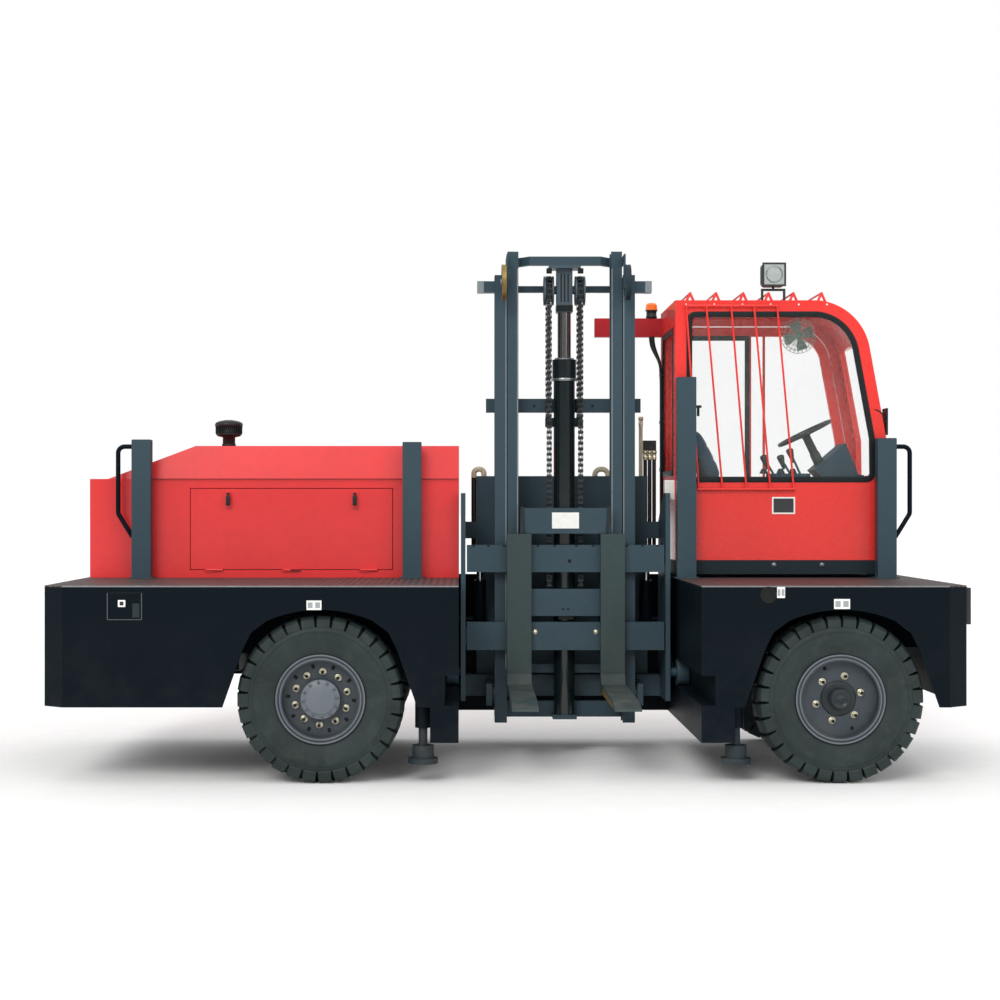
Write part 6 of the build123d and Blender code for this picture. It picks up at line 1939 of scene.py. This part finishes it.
class LOADER_OT_mast_details(bpy.types.Operator):
    """Adds the carriage's plate and bolts, fork and rail wear, rings, pulleys and ferrules"""
    bl_idname = "loader.mast_details"
    bl_label = "Mast details"

    def execute(self, context):
        add_top_box()
        add_carriage_bolts()
        add_fork_wear()
        add_rail_marks()
        add_cylinder()
        add_pulleys()
        add_hose_ends()
        return {"FINISHED"}


# Stage


def add_sun(name, strength, spread, turn, scene):
    """A soft white sun lamp."""
    lamp = bpy.data.lights.new(name, "SUN")
    lamp.energy = strength
    lamp.angle = math.radians(spread)
    lamp.color = (1.0, 0.99, 0.97)
    holder = bpy.data.objects.new(name, lamp)
    holder.rotation_euler = turn
    scene.collection.objects.link(holder)
    return holder


def light_sky(scene):
    """White to the camera, soft white light on surfaces, a dark horizon in reflections."""
    world = bpy.data.worlds.new("White studio")
    world.use_nodes = True
    scene.world = world
    tree = world.node_tree
    tree.nodes.clear()

    def background(colour, strength):
        return add_node(tree, "ShaderNodeBackground",
                        {"Color": colour, "Strength": strength}).outputs[0]

    def either(share, first, second):
        return add_node(tree, "ShaderNodeMixShader",
                        {"Fac": share, 1: first, 2: second}).outputs[0]

    path = add_node(tree, "ShaderNodeLightPath").outputs
    seen = add_node(tree, "ShaderNodeMath", {0: path["Is Camera Ray"],
                                             1: path["Is Transmission Ray"]},
                    operation="MAXIMUM").outputs[0]
    place = add_node(tree, "ShaderNodeTexCoord").outputs["Generated"]
    split = add_node(tree, "ShaderNodeSeparateXYZ", {0: place})
    ramp = add_node(tree, "ShaderNodeValToRGB", {"Fac": split.outputs["Z"]})
    for element, where, value in zip(ramp.color_ramp.elements, (0.05, 0.55), (0.10, 1.0)):
        element.position = where
        element.color = (value, value, value, 1)
    white = (1, 1, 1, 1)
    glossy = either(path["Is Glossy Ray"], background(white, 0.9),
                    background(ramp.outputs["Color"], 1.0))
    shown = either(seen, glossy, background(white, 1.0))
    add_node(tree, "ShaderNodeOutputWorld", {"Surface": shown})


class LOADER_OT_stage(bpy.types.Operator):
    """Sets up the camera, the white floor, the lamps and the sky light"""
    bl_idname = "loader.stage"
    bl_label = "Stage"

    def execute(self, context):
        size = sizes()
        scene = context.scene
        view = scene.view_settings
        view.view_transform = "Standard"
        view.look = "None"
        lens = bpy.data.cameras.new("Camera")
        lens.lens = LENS
        lens.sensor_width = 36
        lens.shift_x = (PHOTO_MIDDLE - VANISHING_X) / PHOTO_SIDE
        lens.shift_y = (VANISHING_Y - PHOTO_MIDDLE) / PHOTO_SIDE
        camera = bpy.data.objects.new("Camera", lens)
        camera.location = (EYE_X, -size.camera_distance, size.camera_height)
        camera.rotation_euler = (math.radians(90), 0, 0)
        scene.collection.objects.link(camera)
        scene.camera = camera
        form = bmesh.new()
        corners = [(x * FLOOR_REACH, y * FLOOR_REACH, 0)
                   for x, y in ((-1, -1), (1, -1), (1, 1), (-1, 1))]
        form.faces.new([form.verts.new(corner) for corner in corners])
        floor = bpy.data.objects.new("floor", close_bmesh(form, "floor"))
        scene.collection.objects.link(floor)
        floor.data.materials.append(FINISH["backdrop"])
        sun = add_sun("key_light", 1.2, 24, (math.radians(56), 0, math.radians(-20)), scene)
        fill = add_sun("fill_light", 0.45, 34, (math.radians(66), 0, math.radians(36)), scene)
        light_sky(scene)
        return {"FINISHED"}


# Panel and running


class LOADER_PT_side_panel(bpy.types.Panel):
    """The machine's sizes, colours and steps, in the order in which they run"""
    bl_idname = "LOADER_PT_side_panel"
    bl_label = "Side loader forklift"
    bl_space_type = "VIEW_3D"
    bl_region_type = "UI"
    bl_category = "Side Loader"

    def draw(self, context):
        layout = self.layout
        scene = context.scene
        box = layout.box()
        box.label(text="Sizes")
        for name in LoaderSizes.__annotations__:
            box.prop(scene.loader_sizes, name)
        box = layout.box()
        box.label(text="Colours")
        for name in LoaderColours.__annotations__:
            box.prop(scene.loader_colours, name)
        column = layout.column(align=True)
        for step in STEPS:
            column.operator(step.bl_idname)


STEPS = (LOADER_OT_finishes, LOADER_OT_tyres, LOADER_OT_wheel_hardware, LOADER_OT_chains,
         LOADER_OT_frame_details, LOADER_OT_hood_details, LOADER_OT_cab_details,
         LOADER_OT_cab_inside, LOADER_OT_lamps, LOADER_OT_mast_details, LOADER_OT_stage)
CLASSES = (LoaderSizes, LoaderColours) + STEPS + (LOADER_PT_side_panel,)


def register():
    for made in CLASSES:
        bpy.utils.register_class(made)
    bpy.types.Scene.loader_sizes = bpy.props.PointerProperty(type=LoaderSizes)
    bpy.types.Scene.loader_colours = bpy.props.PointerProperty(type=LoaderColours)


def unregister():
    del bpy.types.Scene.loader_colours
    del bpy.types.Scene.loader_sizes
    for made in reversed(CLASSES):
        bpy.utils.unregister_class(made)


def main():
    register()
    bpy.ops.loader.finishes()
    bpy.ops.loader.tyres()
    bpy.ops.loader.wheel_hardware()
    bpy.ops.loader.chains()
    bpy.ops.loader.frame_details()
    bpy.ops.loader.hood_details()
    bpy.ops.loader.cab_details()
    bpy.ops.loader.cab_inside()
    bpy.ops.loader.lamps()
    bpy.ops.loader.mast_details()
    bpy.ops.loader.stage()


if __name__ == "__main__":
    main()
